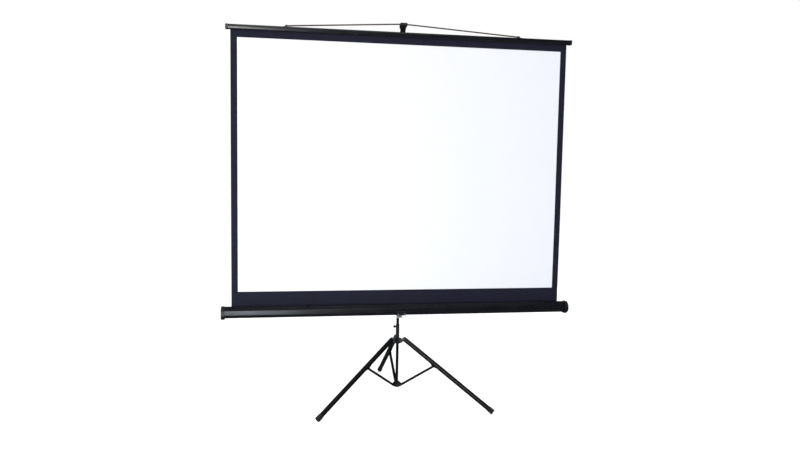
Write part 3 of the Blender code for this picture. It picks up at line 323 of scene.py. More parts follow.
def hard_finish(name, colour, rough, metallic=0.0, grain_scale=400.0, depth=0.00002, shift=0.25,
                worn=None, wear_amount=0.5, wear_radius=0.001, scuffed=0.25, dusty=0.25,
                gloss=0.5):
    """Paint, plastic, rubber or metal: drifting colour, grain, worn edges, scuffs and dust."""
    material, tree, shader = shaded(name, {"Metallic": metallic, "Specular IOR Level": gloss})
    where = put(tree, "TexCoord").outputs["Object"]

    def use(group, **values):
        return put(tree, "Group", {"Vector": where, **values}, node_tree=group).outputs

    base = srgb(*colour)
    skin = use(grain, Scale=grain_scale)
    paint = mixed(tree, skin["Tone"], [c * (1 - shift) for c in base],
                  [c * (1 + shift) for c in base])
    marks = use(scuffs, Amount=scuffed)
    paint = mixed(tree, marks["Mask"], paint, [min(1, c * 1.9 + 0.01) for c in base])
    if worn:
        rubbed = use(wear, Amount=wear_amount, Radius=wear_radius)
        paint = mixed(tree, rubbed["Mask"], paint, srgb(*worn))
    settled = use(dust, Amount=dusty)
    paint = mixed(tree, settled["Mask"], paint, DUST_COLOUR)

    matt = ramp(tree, skin["Tone"], 0.3, 0.7, rough * 0.88, min(1, rough * 1.14))
    duller = maths(tree, "MULTIPLY_ADD", settled["Mask"], 0.4, matt, use_clamp=True)
    bump = put(tree, "Bump", {"Height": skin["Height"], "Distance": depth})
    fill(tree, shader, {"Base Color": paint, "Roughness": duller, "Normal": bump})
    return material


# %% Mix the hard finishes
case_paint = hard_finish("case_enamel", (7, 9, 15), 0.29, grain_scale=500,
                         worn=(70, 73, 80), wear_amount=0.4, scuffed=0.15, dusty=0.03)
bar_paint = hard_finish("bar_enamel", (15, 16, 20), 0.21, metallic=0.2, grain_scale=500,
                        worn=(104, 106, 112), wear_amount=0.5, scuffed=0.15, dusty=0.05,
                        gloss=0.68)
leg_paint = hard_finish("leg_enamel", (7, 8, 8), 0.30, grain_scale=600,
                        worn=(84, 85, 86), wear_amount=0.5, scuffed=0.15, dusty=0.01, gloss=0.2)
black_plastic = hard_finish("moulded_black", (13, 13, 15), 0.42, grain_scale=900, depth=0.00004,
                            worn=(48, 48, 50), wear_amount=0.35, scuffed=0.1, dusty=0.08)
grey_plastic = hard_finish("moulded_grey", (62, 64, 66), 0.46, grain_scale=900, depth=0.00004,
                           worn=(110, 111, 112), wear_amount=0.4, scuffed=0.15, dusty=0.08)
plated_steel = hard_finish("plated_steel", (206, 211, 214), 0.36, metallic=0.45, grain_scale=300,
                           depth=0.00001, shift=0.12, worn=(120, 116, 108), wear_amount=0.35,
                           scuffed=0.2, dusty=0.1)
dark_steel = hard_finish("dark_steel", (74, 76, 80), 0.34, metallic=0.6, grain_scale=300,
                         depth=0.00001, shift=0.15, worn=(150, 150, 148), wear_amount=0.4,
                         scuffed=0.2, dusty=0.05)
rubber = hard_finish("foot_rubber", (15, 15, 16), 0.78, grain_scale=700, depth=0.00008,
                     worn=(70, 69, 67), wear_amount=0.6, wear_radius=0.0015, scuffed=0.2,
                     dusty=0.15, gloss=0.3)
spring_wire = hard_finish("spring_wire", (120, 122, 126), 0.35, metallic=1.0, grain_scale=800,
                          shift=0.2, scuffed=0.1, dusty=0.0)
print("hard finishes made:", len(bpy.data.materials) - 1)

# %% [markdown]
# ## Shaping helpers
# Nearly every hard piece of a screen is either an outline pushed along a line, as tubes and
# plates are, or a profile turned on a lathe, as pins and knobs are. Both start from a few
# vertices; operators round the corners, extrude or spin them.

# %% Finish a piece and put it in the scene
def piece(name, bm, body, *finishes, replaces=(), place=None, smooth=35):
    """Turn a bmesh into a finished piece that rides on a body and stands for CAD nodes.

    Its finishes fill its material slots, in order.
    """
    if place is not None:
        bmesh.ops.transform(bm, matrix=place, verts=bm.verts)
    bmesh.ops.remove_doubles(bm, verts=bm.verts, dist=1e-6)
    bmesh.ops.recalc_face_normals(bm, faces=bm.faces)
    mesh = bpy.data.meshes.new(name)
    bm.to_mesh(mesh)
    bm.free()
    for finish in finishes:
        mesh.materials.append(finish)
    mesh.shade_smooth()
    mesh.set_sharp_from_angle(angle=math.radians(smooth))
    obj = bpy.data.objects.new(name, mesh)
    bpy.context.collection.objects.link(obj)
    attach(obj, body)
    if replaces:
        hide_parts(*replaces)
    return obj


# %% Push an outline along a line
def along(axis, a, b, h):
    """The point at height h along axis, with a and b across it."""
    return {"X": (h, a, b), "Y": (a, h, b), "Z": (a, b, h)}[axis]


def face_of(points, axis, height, steps):
    """A flat face across axis; each point is (a, b) or (a, b, corner radius)."""
    bm = bmesh.new()
    verts = [bm.verts.new(along(axis, p[0], p[1], height)) for p in points]
    bm.faces.new(verts)
    for vert, point in zip(verts, points):
        if len(point) < 3:
            continue
        arms = [e.other_vert(vert).co - vert.co for e in vert.link_edges]
        turn = math.pi - arms[0].angle(arms[1])
        bmesh.ops.bevel(bm, geom=[vert], offset=point[2] * math.tan(turn / 2), segments=steps,
                        profile=0.5, affect="VERTICES", material=-1, offset_type="OFFSET",
                        clamp_overlap=False)
    return bm


def extruded(bm, axis, distance):
    """Push all of a flat bmesh along axis, which makes it a closed solid."""
    raised = bmesh.ops.extrude_face_region(bm, geom=bm.faces[:])["geom"]
    bmesh.ops.translate(bm, vec=along(axis, 0, 0, distance),
                        verts=[v for v in raised if isinstance(v, bmesh.types.BMVert)])
    return bm


# %% Turn a profile on a lathe
def lathed(profile, axis="Z", steps=40, ring=False):
    """(radius, height) points spun about axis; ring closes the profile off the axis."""
    bm = bmesh.new()
    verts = [bm.verts.new((r, 0, h)) for r, h in profile]
    edges = [bm.edges.new(pair) for pair in zip(verts, verts[1:])]
    if ring:
        edges.append(bm.edges.new((verts[-1], verts[0])))
    bmesh.ops.spin(bm, geom=verts + edges, cent=(0, 0, 0), axis=(0, 0, 1),
                   angle=2 * math.pi, steps=steps, use_merge=True)
    bmesh.ops.remove_doubles(bm, verts=bm.verts, dist=1e-7)
    if axis != "Z":
        turn = Vector((0, 0, 1)).rotation_difference(Vector(along(axis, 0, 0, 1)))
        bmesh.ops.transform(bm, matrix=turn.to_matrix().to_4x4(), verts=bm.verts)
    return bm


def facing(at, normal):
    """The place of something drawn over z = 0 that should stand at a point, facing out."""
    turn = Vector((0, 0, 1)).rotation_difference(Vector(normal))
    return Matrix.Translation(at) @ turn.to_matrix().to_4x4()


# %% Soften a machined shape
SHARP_ANGLE, FLAT_ANGLE = math.radians(28), math.radians(0.5)


def softened(node, name, body, finish, offset, segments=3):
    """A copy of a CAD node with merged faces and rounded edges, as a mould or a tumbler gives."""
    bm = bmesh.new()
    bm.from_mesh(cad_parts[node].data)
    for face in bm.faces:
        face.material_index = 0
    bmesh.ops.remove_doubles(bm, verts=bm.verts, dist=2e-6)
    bmesh.ops.dissolve_limit(bm, angle_limit=FLAT_ANGLE, verts=bm.verts, edges=bm.edges)
    sharp = [e for e in bm.edges if e.is_manifold and e.calc_face_angle(0) > SHARP_ANGLE]
    bmesh.ops.bevel(bm, geom=sharp, offset=offset, segments=segments, profile=0.5,
                    affect="EDGES", material=-1, clamp_overlap=True)
    obj = piece(name, bm, body, finish, replaces=[node], smooth=40)
    weigh = obj.modifiers.new("even_shading", "WEIGHTED_NORMAL")
    weigh.keep_sharp = True
    print(name, "from", node, "faces", len(obj.data.polygons))
    return obj


# %% [markdown]
# ## The bail
# The top bar hangs from the mast's hook on a braided cord. A cord is drawn as one long grid
# wrapped round its line, which gives it a map for free: one side of the grid runs along the
# The braid is two slanted sets of waves on that map, which paint shade in its grooves and
# highlights on its crowns.

# %% Braid the cord
BAIL_RADIUS, BAIL_REACH, BAIL_BEND, BAIL_RISE = 0.0035, 0.605, 0.020, 0.0465
HOOK_FORWARD, BAIL_TOP = 0.030, 2.0195
BAIL_STEPS, BAIL_SIDES = 160, 16
BAIL_INSET = 0.0003
BRAID_PITCH, BRAID_STRANDS = 0.011, 4


def bail_point(x):
    """The bail's centreline: two straight runs that bend over the hook's groove."""
    share = (math.hypot(x, BAIL_BEND) - BAIL_BEND) / (
        math.hypot(BAIL_REACH, BAIL_BEND) - BAIL_BEND)
    hook_y = MAST_Y - HOOK_FORWARD
    return Vector((x, hook_y + (CASE_Y - hook_y) * share, BAIL_TOP - BAIL_RISE * share))


def wrapped(path, radius, sides):
    """A tube round a path, made from a grid, with its map along and round it."""
    bm = bmesh.new()
    bm.loops.layers.uv.new("along_and_round")
    bmesh.ops.create_grid(bm, x_segments=len(path) - 1, y_segments=sides, size=0.5,
                          calc_uvs=True)
    for vert in bm.verts:
        step = round((vert.co.x + 0.5) * (len(path) - 1))
        angle = 2 * math.pi * (vert.co.y + 0.5)
        ahead = path[min(step + 1, len(path) - 1)] - path[max(step - 1, 0)]
        side = ahead.cross(Vector((0, 0, 1))).normalized()
        rise = side.cross(ahead).normalized()
        vert.co = path[step] + radius * (math.cos(angle) * side + math.sin(angle) * rise)
    bmesh.ops.remove_doubles(bm, verts=bm.verts, dist=1e-6)
    bmesh.ops.holes_fill(bm, edges=[e for e in bm.edges if e.is_boundary])
    return bm


bail_path = [bail_point((BAIL_REACH - BAIL_INSET) * (2 * i / BAIL_STEPS - 1))
             for i in range(BAIL_STEPS + 1)]
bail_length = sum((b - a).length for a, b in zip(bail_path, bail_path[1:]))
print("bail is", round(bail_length, 3), "m long")

# %% Colour the cord
braid, tree, shader = shaded("braided_cord", {"Roughness": 0.75, "Sheen Weight": 0.3})
turns = (2 * math.pi * bail_length / BRAID_PITCH, 2 * math.pi * BRAID_STRANDS, 1)
mapping = put(tree, "Mapping", {"Vector": put(tree, "TexCoord").outputs["UV"], "Scale": turns})
plait = put(tree, "Group", {"Vector": mapping, "Slant": 1.0}, node_tree=threads)
# Colour follows the braid's height: painted shade in the grooves between strands, painted
# highlight on their crowns.
tone = mixed(tree, plait.outputs["Height"], srgb(22, 16, 12), srgb(74, 56, 42))
bump = put(tree, "Bump", {"Height": plait.outputs["Height"], "Distance": 0.0004, "Strength": 0.8})
fill(tree, shader, {"Base Color": tone, "Normal": bump})

bail = piece("bail_braid", wrapped(bail_path, BAIL_RADIUS, BAIL_SIDES), "bar", braid,
             replaces=["bail_cord"])
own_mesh(bail)

# %% [markdown]
# ## The picture sheet
# The sheet is one piece of coated cloth: matt white with a black border in front, black
# behind. It starts as a flat grid. Cutting the grid exactly on the border's lines gives the
# colours a crisp edge, and small moves out of the plane give it the slight waves that a hanging
# sheet has. It stays flat where the bar and the case's slot hold it.

# %% Size the sheet
PICTURE_WIDTH, PICTURE_HEIGHT = 1.7067, 1.280
SIDE_BORDER = 0.033
FABRIC_Y, FABRIC_THICKNESS = -0.195951, 0.0004
SHEET_LOW, SHEET_HIGH = 0.5235, 1.9525
SLOT_Z, PICTURE_BASE = 0.5515, 0.628
SHEET_COLUMNS, SHEET_ROWS = 96, 84
SCREEN_TRAVEL, THREAD_PITCH = 1.392, 0.0011
FLAT_LOW, FLAT_HIGH, WAVE_TOP = 0.004, 0.012, 0.55
RIPPLE, FINE_RIPPLE, EDGE_CURL, CORNER_PUCKER = 0.0005, 0.0003, 0.0008, 0.0016
SHEET_WIDTH = PICTURE_WIDTH + 2 * SIDE_BORDER
SHEET_HEIGHT = SHEET_HIGH - SHEET_LOW
print("sheet", round(SHEET_WIDTH, 3), "x", round(SHEET_HEIGHT, 3), "m")


def sheet_wave(x, z):
    """How far the cloth stands out of its plane: nothing where it is held or runs into the bar."""
    across = 2 * x / SHEET_WIDTH
    up = (z - SLOT_Z - FLAT_LOW) / (SHEET_HIGH - FLAT_HIGH - SLOT_Z)
    if not 0 < up < 1:
        return 0.0
    held = math.sin(math.pi * min(1, up / WAVE_TOP)) ** 0.7
    ripple = (RIPPLE * math.sin(4.1 * across + 0.6)
              + FINE_RIPPLE * math.sin(9.3 * across + 2.0 * up))
    curl = EDGE_CURL * abs(across) ** 9 * math.sin(4 * math.pi * up + 0.5)
    pucker = CORNER_PUCKER * max(0, across) ** 16 * math.exp(-((up - 0.045) / 0.014) ** 2)
    return held * (ripple + curl) + pucker


# %% Weave the sheet
cloth = bmesh.new()
cloth.loops.layers.uv.new("across_and_up")
bmesh.ops.create_grid(cloth, x_segments=SHEET_COLUMNS, y_segments=SHEET_ROWS, size=0.5,
                      calc_uvs=True, matrix=Matrix.Rotation(math.pi / 2, 4, "X"))
bmesh.ops.scale(cloth, vec=(SHEET_WIDTH, 1, SHEET_HEIGHT), verts=cloth.verts)
bmesh.ops.translate(cloth, vec=(0, FABRIC_Y, (SHEET_LOW + SHEET_HIGH) / 2), verts=cloth.verts)
lines = [((x, 0, 0), (1, 0, 0)) for x in (-PICTURE_WIDTH / 2, PICTURE_WIDTH / 2)]
lines += [((0, 0, z), (0, 0, 1)) for z in (PICTURE_BASE, PICTURE_BASE + PICTURE_HEIGHT)]
for point, way in lines:
    bmesh.ops.bisect_plane(cloth, geom=[*cloth.verts, *cloth.edges, *cloth.faces],
                           plane_co=point, plane_no=way, dist=1e-5)
for vert in cloth.verts:
    vert.co.y += sheet_wave(vert.co.x, vert.co.z)
for face in cloth.faces:
    middle = face.calc_center_median()
    inside = (abs(middle.x) < PICTURE_WIDTH / 2
              and PICTURE_BASE < middle.z < PICTURE_BASE + PICTURE_HEIGHT)
    face.material_index = 0 if inside else 1
bmesh.ops.recalc_face_normals(cloth, faces=cloth.faces)
cloth.normal_update()
if sum(face.normal.y for face in cloth.faces) > 0:
    bmesh.ops.reverse_faces(cloth, faces=cloth.faces)
bmesh.ops.solidify(cloth, geom=[*cloth.verts, *cloth.edges, *cloth.faces],
                   thickness=FABRIC_THICKNESS)
cloth.normal_update()
for face in cloth.faces:
    if face.normal.y > -0.5:
        face.material_index = 2
print("sheet faces", len(cloth.faces))


# %% Coat the sheet
def coated_cloth(name, dark, light, rough, crease_highlight=0.0):
    """Vinyl-coated cloth: a fine grain, a faint thread and soft level bands of lighter colour,
    painted highlights where creases from rolling catch the light.
    """
    material, tree, shader = shaded(name, {"Roughness": rough, "Specular IOR Level": 0.25})
    real = put(tree, "Mapping", {"Vector": put(tree, "TexCoord").outputs["UV"],
                                 "Scale": (SHEET_WIDTH, SHEET_HEIGHT, 1)})
    weave = put(tree, "Group", {"Vector": real, "Across": 2 * math.pi / THREAD_PITCH},
                node_tree=threads).outputs
    skin = put(tree, "Group", {"Vector": real, "Scale": 900}, node_tree=grain).outputs
    level = put(tree, "Mapping", {"Vector": real, "Scale": (1.2, 30, 1)})
    # Lighter level bands painted where creases catch the light: a painted highlight.
    crease_highlights = ramp(tree, noise(tree, level, 1.0, 3.0), 0.60, 0.75, 0.0, crease_highlight)
    tone = maths(tree, "ADD", skin["Tone"], crease_highlights, use_clamp=True)
    relief = maths(tree, "ADD", weave["Height"], skin["Height"])
    bump = put(tree, "Bump", {"Height": relief, "Distance": 0.00006})
    fill(tree, shader, {"Base Color": mixed(tree, tone, dark, light), "Normal": bump})
    return material


white_coat = coated_cloth("white_coat", (0.565, 0.565, 0.565), (0.585, 0.585, 0.585), 0.92)
# The last number sets how strongly the painted crease highlights lighten each coat.
border_coat = coated_cloth("border_coat", srgb(11, 12, 25), srgb(20, 21, 38), 0.85, 0.3)
back_coat = coated_cloth("back_coat", srgb(20, 20, 22), srgb(29, 29, 32), 0.85, 0.2)
sheet = piece("picture_sheet", cloth, "case", white_coat, border_coat, back_coat,
              replaces=["screen_sheet"])
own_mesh(sheet)

# %% Wind the rest of the cloth on the roller
ROLLER_AT = (-0.210351, 0.523)
WOUND_OUTER, WOUND_INNER, WOUND_TURNS, WOUND_STEPS = 0.01359, 0.01303, 1.25, 60
WOUND_THICKNESS = 0.0002


def wound_point(share):
    """A point of the spiral, from the outside in, across the roller."""
    radius = WOUND_OUTER + (WOUND_INNER - WOUND_OUTER) * share
    angle = 2 * math.pi * WOUND_TURNS * share
    return Vector((0, ROLLER_AT[0] + radius * math.cos(angle),
                   ROLLER_AT[1] - radius * math.sin(angle)))


wound_line = [wound_point(i / WOUND_STEPS) for i in range(WOUND_STEPS + 1)]
wound_length = sum((b - a).length for a, b in zip(wound_line, wound_line[1:]))
spiral = bmesh.new()
wound_map = spiral.loops.layers.uv.new("across_and_up")
bmesh.ops.create_grid(spiral, x_segments=1, y_segments=WOUND_STEPS, size=0.5, calc_uvs=True)
for face in spiral.faces:
    for loop in face.loops:
        loop[wound_map].uv.y *= wound_length / SHEET_HEIGHT
for vert in spiral.verts:
    across = vert.co.x * SHEET_WIDTH
    vert.co = wound_line[round((vert.co.y + 0.5) * WOUND_STEPS)]
    vert.co.x = across
bmesh.ops.recalc_face_normals(spiral, faces=spiral.faces)
bmesh.ops.solidify(spiral, geom=[*spiral.verts, *spiral.edges, *spiral.faces],
                   thickness=WOUND_THICKNESS)
wound = piece("wound_cloth", spiral, "roller", back_coat, replaces=["fabric_roll"])
print("wound length", round(wound_length, 3), "m")

# %% [markdown]
# ## The top bar
# The bar is an aluminium extrusion with a groove underneath that grips the sheet. Its section
# is drawn once and pushed along its length. Round edges matter here, since the pale stripe that
# the eye reads as metal is the panel behind the camera mirrored between two of them.

# %% Extrude the bar
BAR_HALF_LENGTH, BAR_Z = 0.89635, 1.956
BAR_DEPTH, BAR_HEIGHT = 0.020, 0.024
GRIP_Y, GRIP_GAP, GRIP_DEPTH = 0.0065, 0.0006, 0.009
FRONT_ROUND, REAR_ROUND, GRIP_ROUND = 0.0055, 0.0025, 0.0003

bar_low, grip_top = -BAR_HEIGHT / 2, -BAR_HEIGHT / 2 + GRIP_DEPTH
section = [
    (-BAR_DEPTH / 2, bar_low, FRONT_ROUND), (GRIP_Y - GRIP_GAP, bar_low, GRIP_ROUND),
    (GRIP_Y - GRIP_GAP, grip_top), (GRIP_Y + GRIP_GAP, grip_top),
    (GRIP_Y + GRIP_GAP, bar_low, GRIP_ROUND), (BAR_DEPTH / 2, bar_low, REAR_ROUND),
    (BAR_DEPTH / 2, BAR_HEIGHT / 2, REAR_ROUND), (-BAR_DEPTH / 2, BAR_HEIGHT / 2, FRONT_ROUND),
]
bar = piece("bar_extrusion",
            extruded(face_of(section, "X", -BAR_HALF_LENGTH, 5), "X", 2 * BAR_HALF_LENGTH), "bar",
            bar_paint, replaces=["top_bar"], place=Matrix.Translation((0, CASE_Y, BAR_Z)))
print("bar faces", len(bar.data.polygons))

# %% Cap the bar's ends
BAR_CAP_LIP = 0.0002
for side, way in SIDES:
    cap = softened("bar_cap_" + side, "bar_end_" + side, "bar", black_plastic, 0.0004)
    for vert in cap.data.vertices:
        vert.co.z = max(vert.co.z, BAR_Z - BAR_HEIGHT / 2 - BAR_CAP_LIP)

# %% [markdown]
# ## Screws and rivets
# Small fasteners make the scale of an object readable. A screw head is a shallow turned dome
# with a round drive, which is made by carrying the dome's profile down inside a small ring. A
# rivet is the same dome left whole.

# %% Turn a dome
HEAD_SUNK, DRIVE_SHARE, TIP_SHARE = 0.0004, 0.36, 0.18
DOME_ANGLES = [math.radians(t) for t in (0, 18, 36, 54, 68)]
SCREWS = {"clip": (0.0030, 0.0014, 0.0008), "cap": (0.0036, 0.0014, 0.0009),
          "strap": (0.0042, 0.0018, 0.0011)}


def dome(radius, height, recess=0.0, steps=24):
    """A low dome over z = 0; recess sinks a round drive into it."""
    profile = [(0, -HEAD_SUNK), (radius, -HEAD_SUNK)]
    profile += [(radius * math.cos(a), height * math.sin(a)) for a in DOME_ANGLES]
    if recess:
        inner = radius * DRIVE_SHARE
        profile += [(inner + 0.0001, height), (inner, height - 0.0002),
                    (inner * 0.9, height - recess), (0, height - recess)]
    else:
        profile += [(radius * TIP_SHARE, height), (0, height)]
    return lathed(profile, steps=steps)


# %% Clip the bail to the bar
CLIP_GAP, CLIP_HEIGHT, CLIP_SCREW_OUT = 0.0003, 0.0015, 0.0165
CLIP_TOP = BAR_Z + BAR_HEIGHT / 2 + CLIP_GAP + CLIP_HEIGHT
for side, way in SIDES:
    softened("bail_anchor_" + side, "bail_clip_" + side, "bar", black_plastic, 0.0003)
    at = (way * (BAIL_REACH + CLIP_SCREW_OUT), CASE_Y, CLIP_TOP)
    piece("clip_screw_" + side, dome(*SCREWS["clip"]), "bar", plated_steel,
          place=facing(at, (0, 0, 1)))

# %% [markdown]
# ## The case
# The case is steel sheet rolled into an octagon with a slot along its top. The slot's edges are
# turned in, so that the cloth runs over a hem and not over a raw edge. The outline is the outer
# octagon, then the inner one walked backwards; pushing it along X makes the whole shell.

# %% Roll the case
CASE_FLATS, CASE_WALL, CASE_CORNER, SLOT_WIDTH, SLOT_HEM = 0.057, 0.0012, 0.003, 0.005, 0.004
CASE_SHELL_HALF, SLOT_ROUND = 0.93205, 0.0005


def octagon(flats, corner, order):
    """Rounded corners of an octagon measured across its flats, numbered from the top right."""
    reach = flats / 2 / math.cos(math.radians(22.5))
    return [(reach * math.cos(math.radians(67.5 - 45 * i)),
             reach * math.sin(math.radians(67.5 - 45 * i)), corner) for i in order]


rear, front = GRIP_Y + SLOT_WIDTH / 2, GRIP_Y - SLOT_WIDTH / 2
half, inner = CASE_FLATS / 2, CASE_FLATS / 2 - CASE_WALL
hem = half - SLOT_HEM
section = [(rear, half, SLOT_ROUND), *octagon(CASE_FLATS, CASE_CORNER, range(8)),
           (front, half, SLOT_ROUND), (front, hem), (front - CASE_WALL, hem),
           (front - CASE_WALL, inner),
           *octagon(CASE_FLATS - 2 * CASE_WALL, CASE_CORNER - CASE_WALL, range(7, -1, -1)),
           (rear + CASE_WALL, inner), (rear + CASE_WALL, hem), (rear, hem)]
shell = piece("rolled_case",
              extruded(face_of(section, "X", -CASE_SHELL_HALF, 6), "X", 2 * CASE_SHELL_HALF),
              "case", case_paint, replaces=["case_shell"],
              place=Matrix.Translation((0, CASE_Y, CASE_Z)))
print("case faces", len(shell.data.polygons))

# %% Cap the case
def sink_panel(obj, normal, steps):
    """Press a shallow panel into the flat face that looks along normal, in (inset, drop) steps."""
    bm = bmesh.new()
    bm.from_mesh(obj.data)
    facing_out = [f for f in bm.faces if f.normal.dot(Vector(normal)) > 0.99]
    panel_face = max(facing_out, key=lambda f: f.calc_area())
    for inset, drop in steps:
        bmesh.ops.inset_region(bm, faces=[panel_face], thickness=inset, depth=-drop,
                               use_even_offset=True)
    bm.to_mesh(obj.data)
    bm.free()


CAP_MIDDLE, CAP_REACH, CAP_DROP = 0.92935, 0.033, 0.0025
PANEL_STEPS = [(0.0042, 0), (0.0003, 0.0001), (0.0004, 0.0004), (0.0004, 0.0004),
               (0.0003, 0.0001)]
for side, way in SIDES:
    end = softened("end_cap_" + side, "case_end_" + side, "case", black_plastic, 0.0009,
                   segments=4)
    sink_panel(end, (way, 0, 0), PANEL_STEPS)
    for label, at, normal in (
        ("under", (way * CAP_MIDDLE, CASE_Y, CASE_Z - CAP_DROP - CAP_REACH), (0, 0, -1)),
        ("rear", (way * CAP_MIDDLE, CASE_Y + CAP_REACH, CASE_Z - CAP_DROP), (0, 1, 0)),
    ):
        piece(f"cap_screw_{label}_{side}", dome(*SCREWS["cap"]), "case", plated_steel,
              place=facing(at, normal))

# %% Wrap the saddle round the case
SADDLE_RIVET_X, SADDLE_DEEP = 0.018, 0.0033
softened("case_saddle", "padded_saddle", "case", black_plastic, 0.0007)
low = Vector((0, -math.sin(math.radians(45)), -math.sin(math.radians(45))))
for side, way in SIDES:
    at = Vector((way * SADDLE_RIVET_X, CASE_Y, CASE_Z)) + low * (CASE_FLATS / 2 + SADDLE_DEEP)
    piece("saddle_rivet_" + side, dome(0.0030, 0.0011), "case", plated_steel,
          place=facing(at, low))

# %% [markdown]
# ## Hanger, column and mast
# The tubes are square and slide in one another. Each is a thin square ring pushed up its
# length; the ring comes from insetting the face and removing what is inside.

# %% Draw a square tube
TUBE_CORNER = 0.0011


def square_tube(side, wall, low, high):
    """A square tube from low to high along Z, with rounded corners."""
    half = side / 2
    outline = [(a, b, TUBE_CORNER)
               for a, b in ((-half, -half), (half, -half), (half, half), (-half, half))]
    bm = face_of(outline, "Z", low, 4)
    bmesh.ops.inset_region(bm, faces=bm.faces[:], thickness=wall, use_boundary=True,
                           use_even_offset=True)
    middle = min(bm.faces, key=lambda f: f.calc_center_median().xy.length)
    bmesh.ops.delete(bm, geom=[middle], context="FACES_ONLY")
    return extruded(bm, "Z", high - low)


mast_place = Matrix.Translation((0, MAST_Y, 0))
for name, node, body, finish, side, wall, low, high in (
    ("column", "column_tube", "stand", leg_paint, 0.013, 0.001, 0.077724, 0.633578),
    ("inner_mast", "mast_tube", "mast", leg_paint, 0.0104, 0.0009, 0.251578, 1.251578),
    ("top_mast", "extension_tube", "extension", plated_steel, 0.008, 0.0009, 1.151578, 1.9997),
):
    piece(name, square_tube(side, wall, low, high), body, finish, replaces=[node],
          place=mast_place)
    print(name, "is", round(high - low, 3), "m long")

# %% Soften the mouldings on the mast
for node, name, body, finish, offset in (
    ("lower_hub", "lower_clevis_ring", "stand", black_plastic, 0.0005),
    ("column_clamp", "column_grip", "stand", black_plastic, 0.0010),
    ("extension_clamp", "mast_grip", "mast", black_plastic, 0.0010),
    ("hanger_arm", "hanger_block", "mast", black_plastic, 0.0012),
    ("hanger_plate", "hanger_strap", "mast", plated_steel, 0.0005),
    ("leg_collar", "sliding_collar", "collar", black_plastic, 0.0005),
    ("mast_head", "bail_hook", "extension", black_plastic, 0.0012),
):
    softened(node, name, body, finish, offset)

# %% Screw the strap to its block
STRAP_FORWARD = 0.0401
for label, z in (("low", 0.676), ("high", 0.702)):
    piece("strap_screw_" + label, dome(*SCREWS["strap"]), "mast", plated_steel,
          place=facing((0, MAST_Y - STRAP_FORWARD, z), (0, -1, 0)))

# %% Head the hub's rivet
LOWER_Z, HUB_FRONT = 0.090724, 0.0128
rivet = lathed([(0, -0.0085), (0.002, -0.0085), (0.002, 0), (0.0033, 0), (0.0032, 0.0007),
                (0.0027, 0.0013), (0.0019, 0.0017), (0.0010, 0.0019), (0.0008, 0.0013),
                (0, 0.0013)], steps=28)
piece("hub_blind_rivet", rivet, "stand", dark_steel, replaces=["hub_rivet"],
      place=facing((0, MAST_Y - HUB_FRONT, LOWER_Z), (0, -1, 0)))

# %% [markdown]
# ## Knobs
# A clamp knob is a turned shape whose rim is then pulled into lobes, so that fingers grip it.
# Every vertex far enough from the axis moves in and out as a cosine of its angle.

# %% Make the knobs
KNOB_LOBES, LOBE_DEPTH, KNOB_DISH, STUD_RADIUS = 6, 0.08, 0.0005, 0.0025


def knob(radius, length, reach):
    """A lobed grip that starts at reach from the clamp, and its threaded stud."""
    end = reach + length
    grip = lathed([
        (0, reach), (radius * 0.60, reach), (radius * 0.64, reach + length * 0.10),
        (radius * 0.66, reach + length * 0.26), (radius * 0.95, reach + length * 0.36),
        (radius, reach + length * 0.44), (radius, reach + length * 0.82),
        (radius * 0.95, reach + length * 0.94), (radius * 0.82, end), (radius * 0.50, end),
        (radius * 0.46, end - KNOB_DISH), (radius * 0.18, end - KNOB_DISH), (0, end - KNOB_DISH),
    ], steps=12 * KNOB_LOBES)
    for vert in grip.verts:
        if vert.co.xy.length > radius * 0.8:
            turn = math.atan2(vert.co.y, vert.co.x)
            vert.co.xy *= 1 - LOBE_DEPTH * (1 - math.cos(KNOB_LOBES * turn))
    stud = lathed([(0, 0), (STUD_RADIUS - 0.0004, 0), (STUD_RADIUS, 0.0006),
                   (STUD_RADIUS, reach + 0.0002), (0, reach + 0.0002)], steps=24)
    for face in stud.faces:
        face.material_index = 1
    passing = bpy.data.meshes.new("passing")
    stud.to_mesh(passing)
    stud.free()
    grip.from_mesh(passing)
    bpy.data.meshes.remove(passing)
    return grip


for name, node, radius, length, reach, at, way in (
    ("column_knob_grip", "column_knob", 0.011, 0.012, 0.0068,
     (0, MAST_Y + 0.0055, 0.645078), (0, 1, 0)),
    ("mast_knob_grip", "extension_knob", 0.011, 0.012, 0.0070,
     (0, MAST_Y + 0.0043, 1.263078), (0, 1, 0)),
    ("collar_knob_grip", "collar_knob", 0.0075, 0.010, 0.0060,
     (-0.0068, MAST_Y, 0.413146), (-1, 0, 0)),
):
    obj = piece(name, knob(radius, length, reach), node, black_plastic, plated_steel,
                replaces=[node], place=facing(at, way))
    for label, corners in (("frame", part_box(node)), ("piece", (
            [min(v.co[i] for v in obj.data.vertices) for i in range(3)],
            [max(v.co[i] for v in obj.data.vertices) for i in range(3)]))):
        print(name, label, [round(float(c), 4) for corner in corners for c in corner])

# %% [markdown]
# ## The tripod
# The three legs are alike, so each piece is drawn once in the plane of a leg and then placed
# three times. A leg's own frame has its origin at the pin that joins leg and brace, with
# height running up the leg. Turning that frame by the spread angle and then round the mast
# puts it where the frame's legs are.

# %% Place the legs' frames
SPREAD = math.radians(55.5)
BRACE_PITCH, PIVOT_RADIUS, UPPER_Z = 0.214, 0.024, 0.333146
LEG_OFFSET, LEG_RADIUS, LEG_WALL, LEG_LENGTH = 0.020, 0.0125, 0.001, 0.600
LEG_END = BRACE_PITCH - LEG_LENGTH
TUBE_START, TUBE_STOP = 0.0033, 0.0058
LEG_TURNS = {"rear": 90, "left": 210, "right": 330}


def leg_frames(side):
    """The plane of a leg and the leg's own frame, as matrices."""
    plane = mast_place @ Matrix.Rotation(math.radians(LEG_TURNS[side]), 4, "Z")
    middle = (PIVOT_RADIUS + BRACE_PITCH * math.sin(SPREAD), 0,
              LOWER_Z + BRACE_PITCH * math.cos(SPREAD))
    return plane, plane @ Matrix.Translation(middle) @ Matrix.Rotation(-SPREAD, 4, "Y")


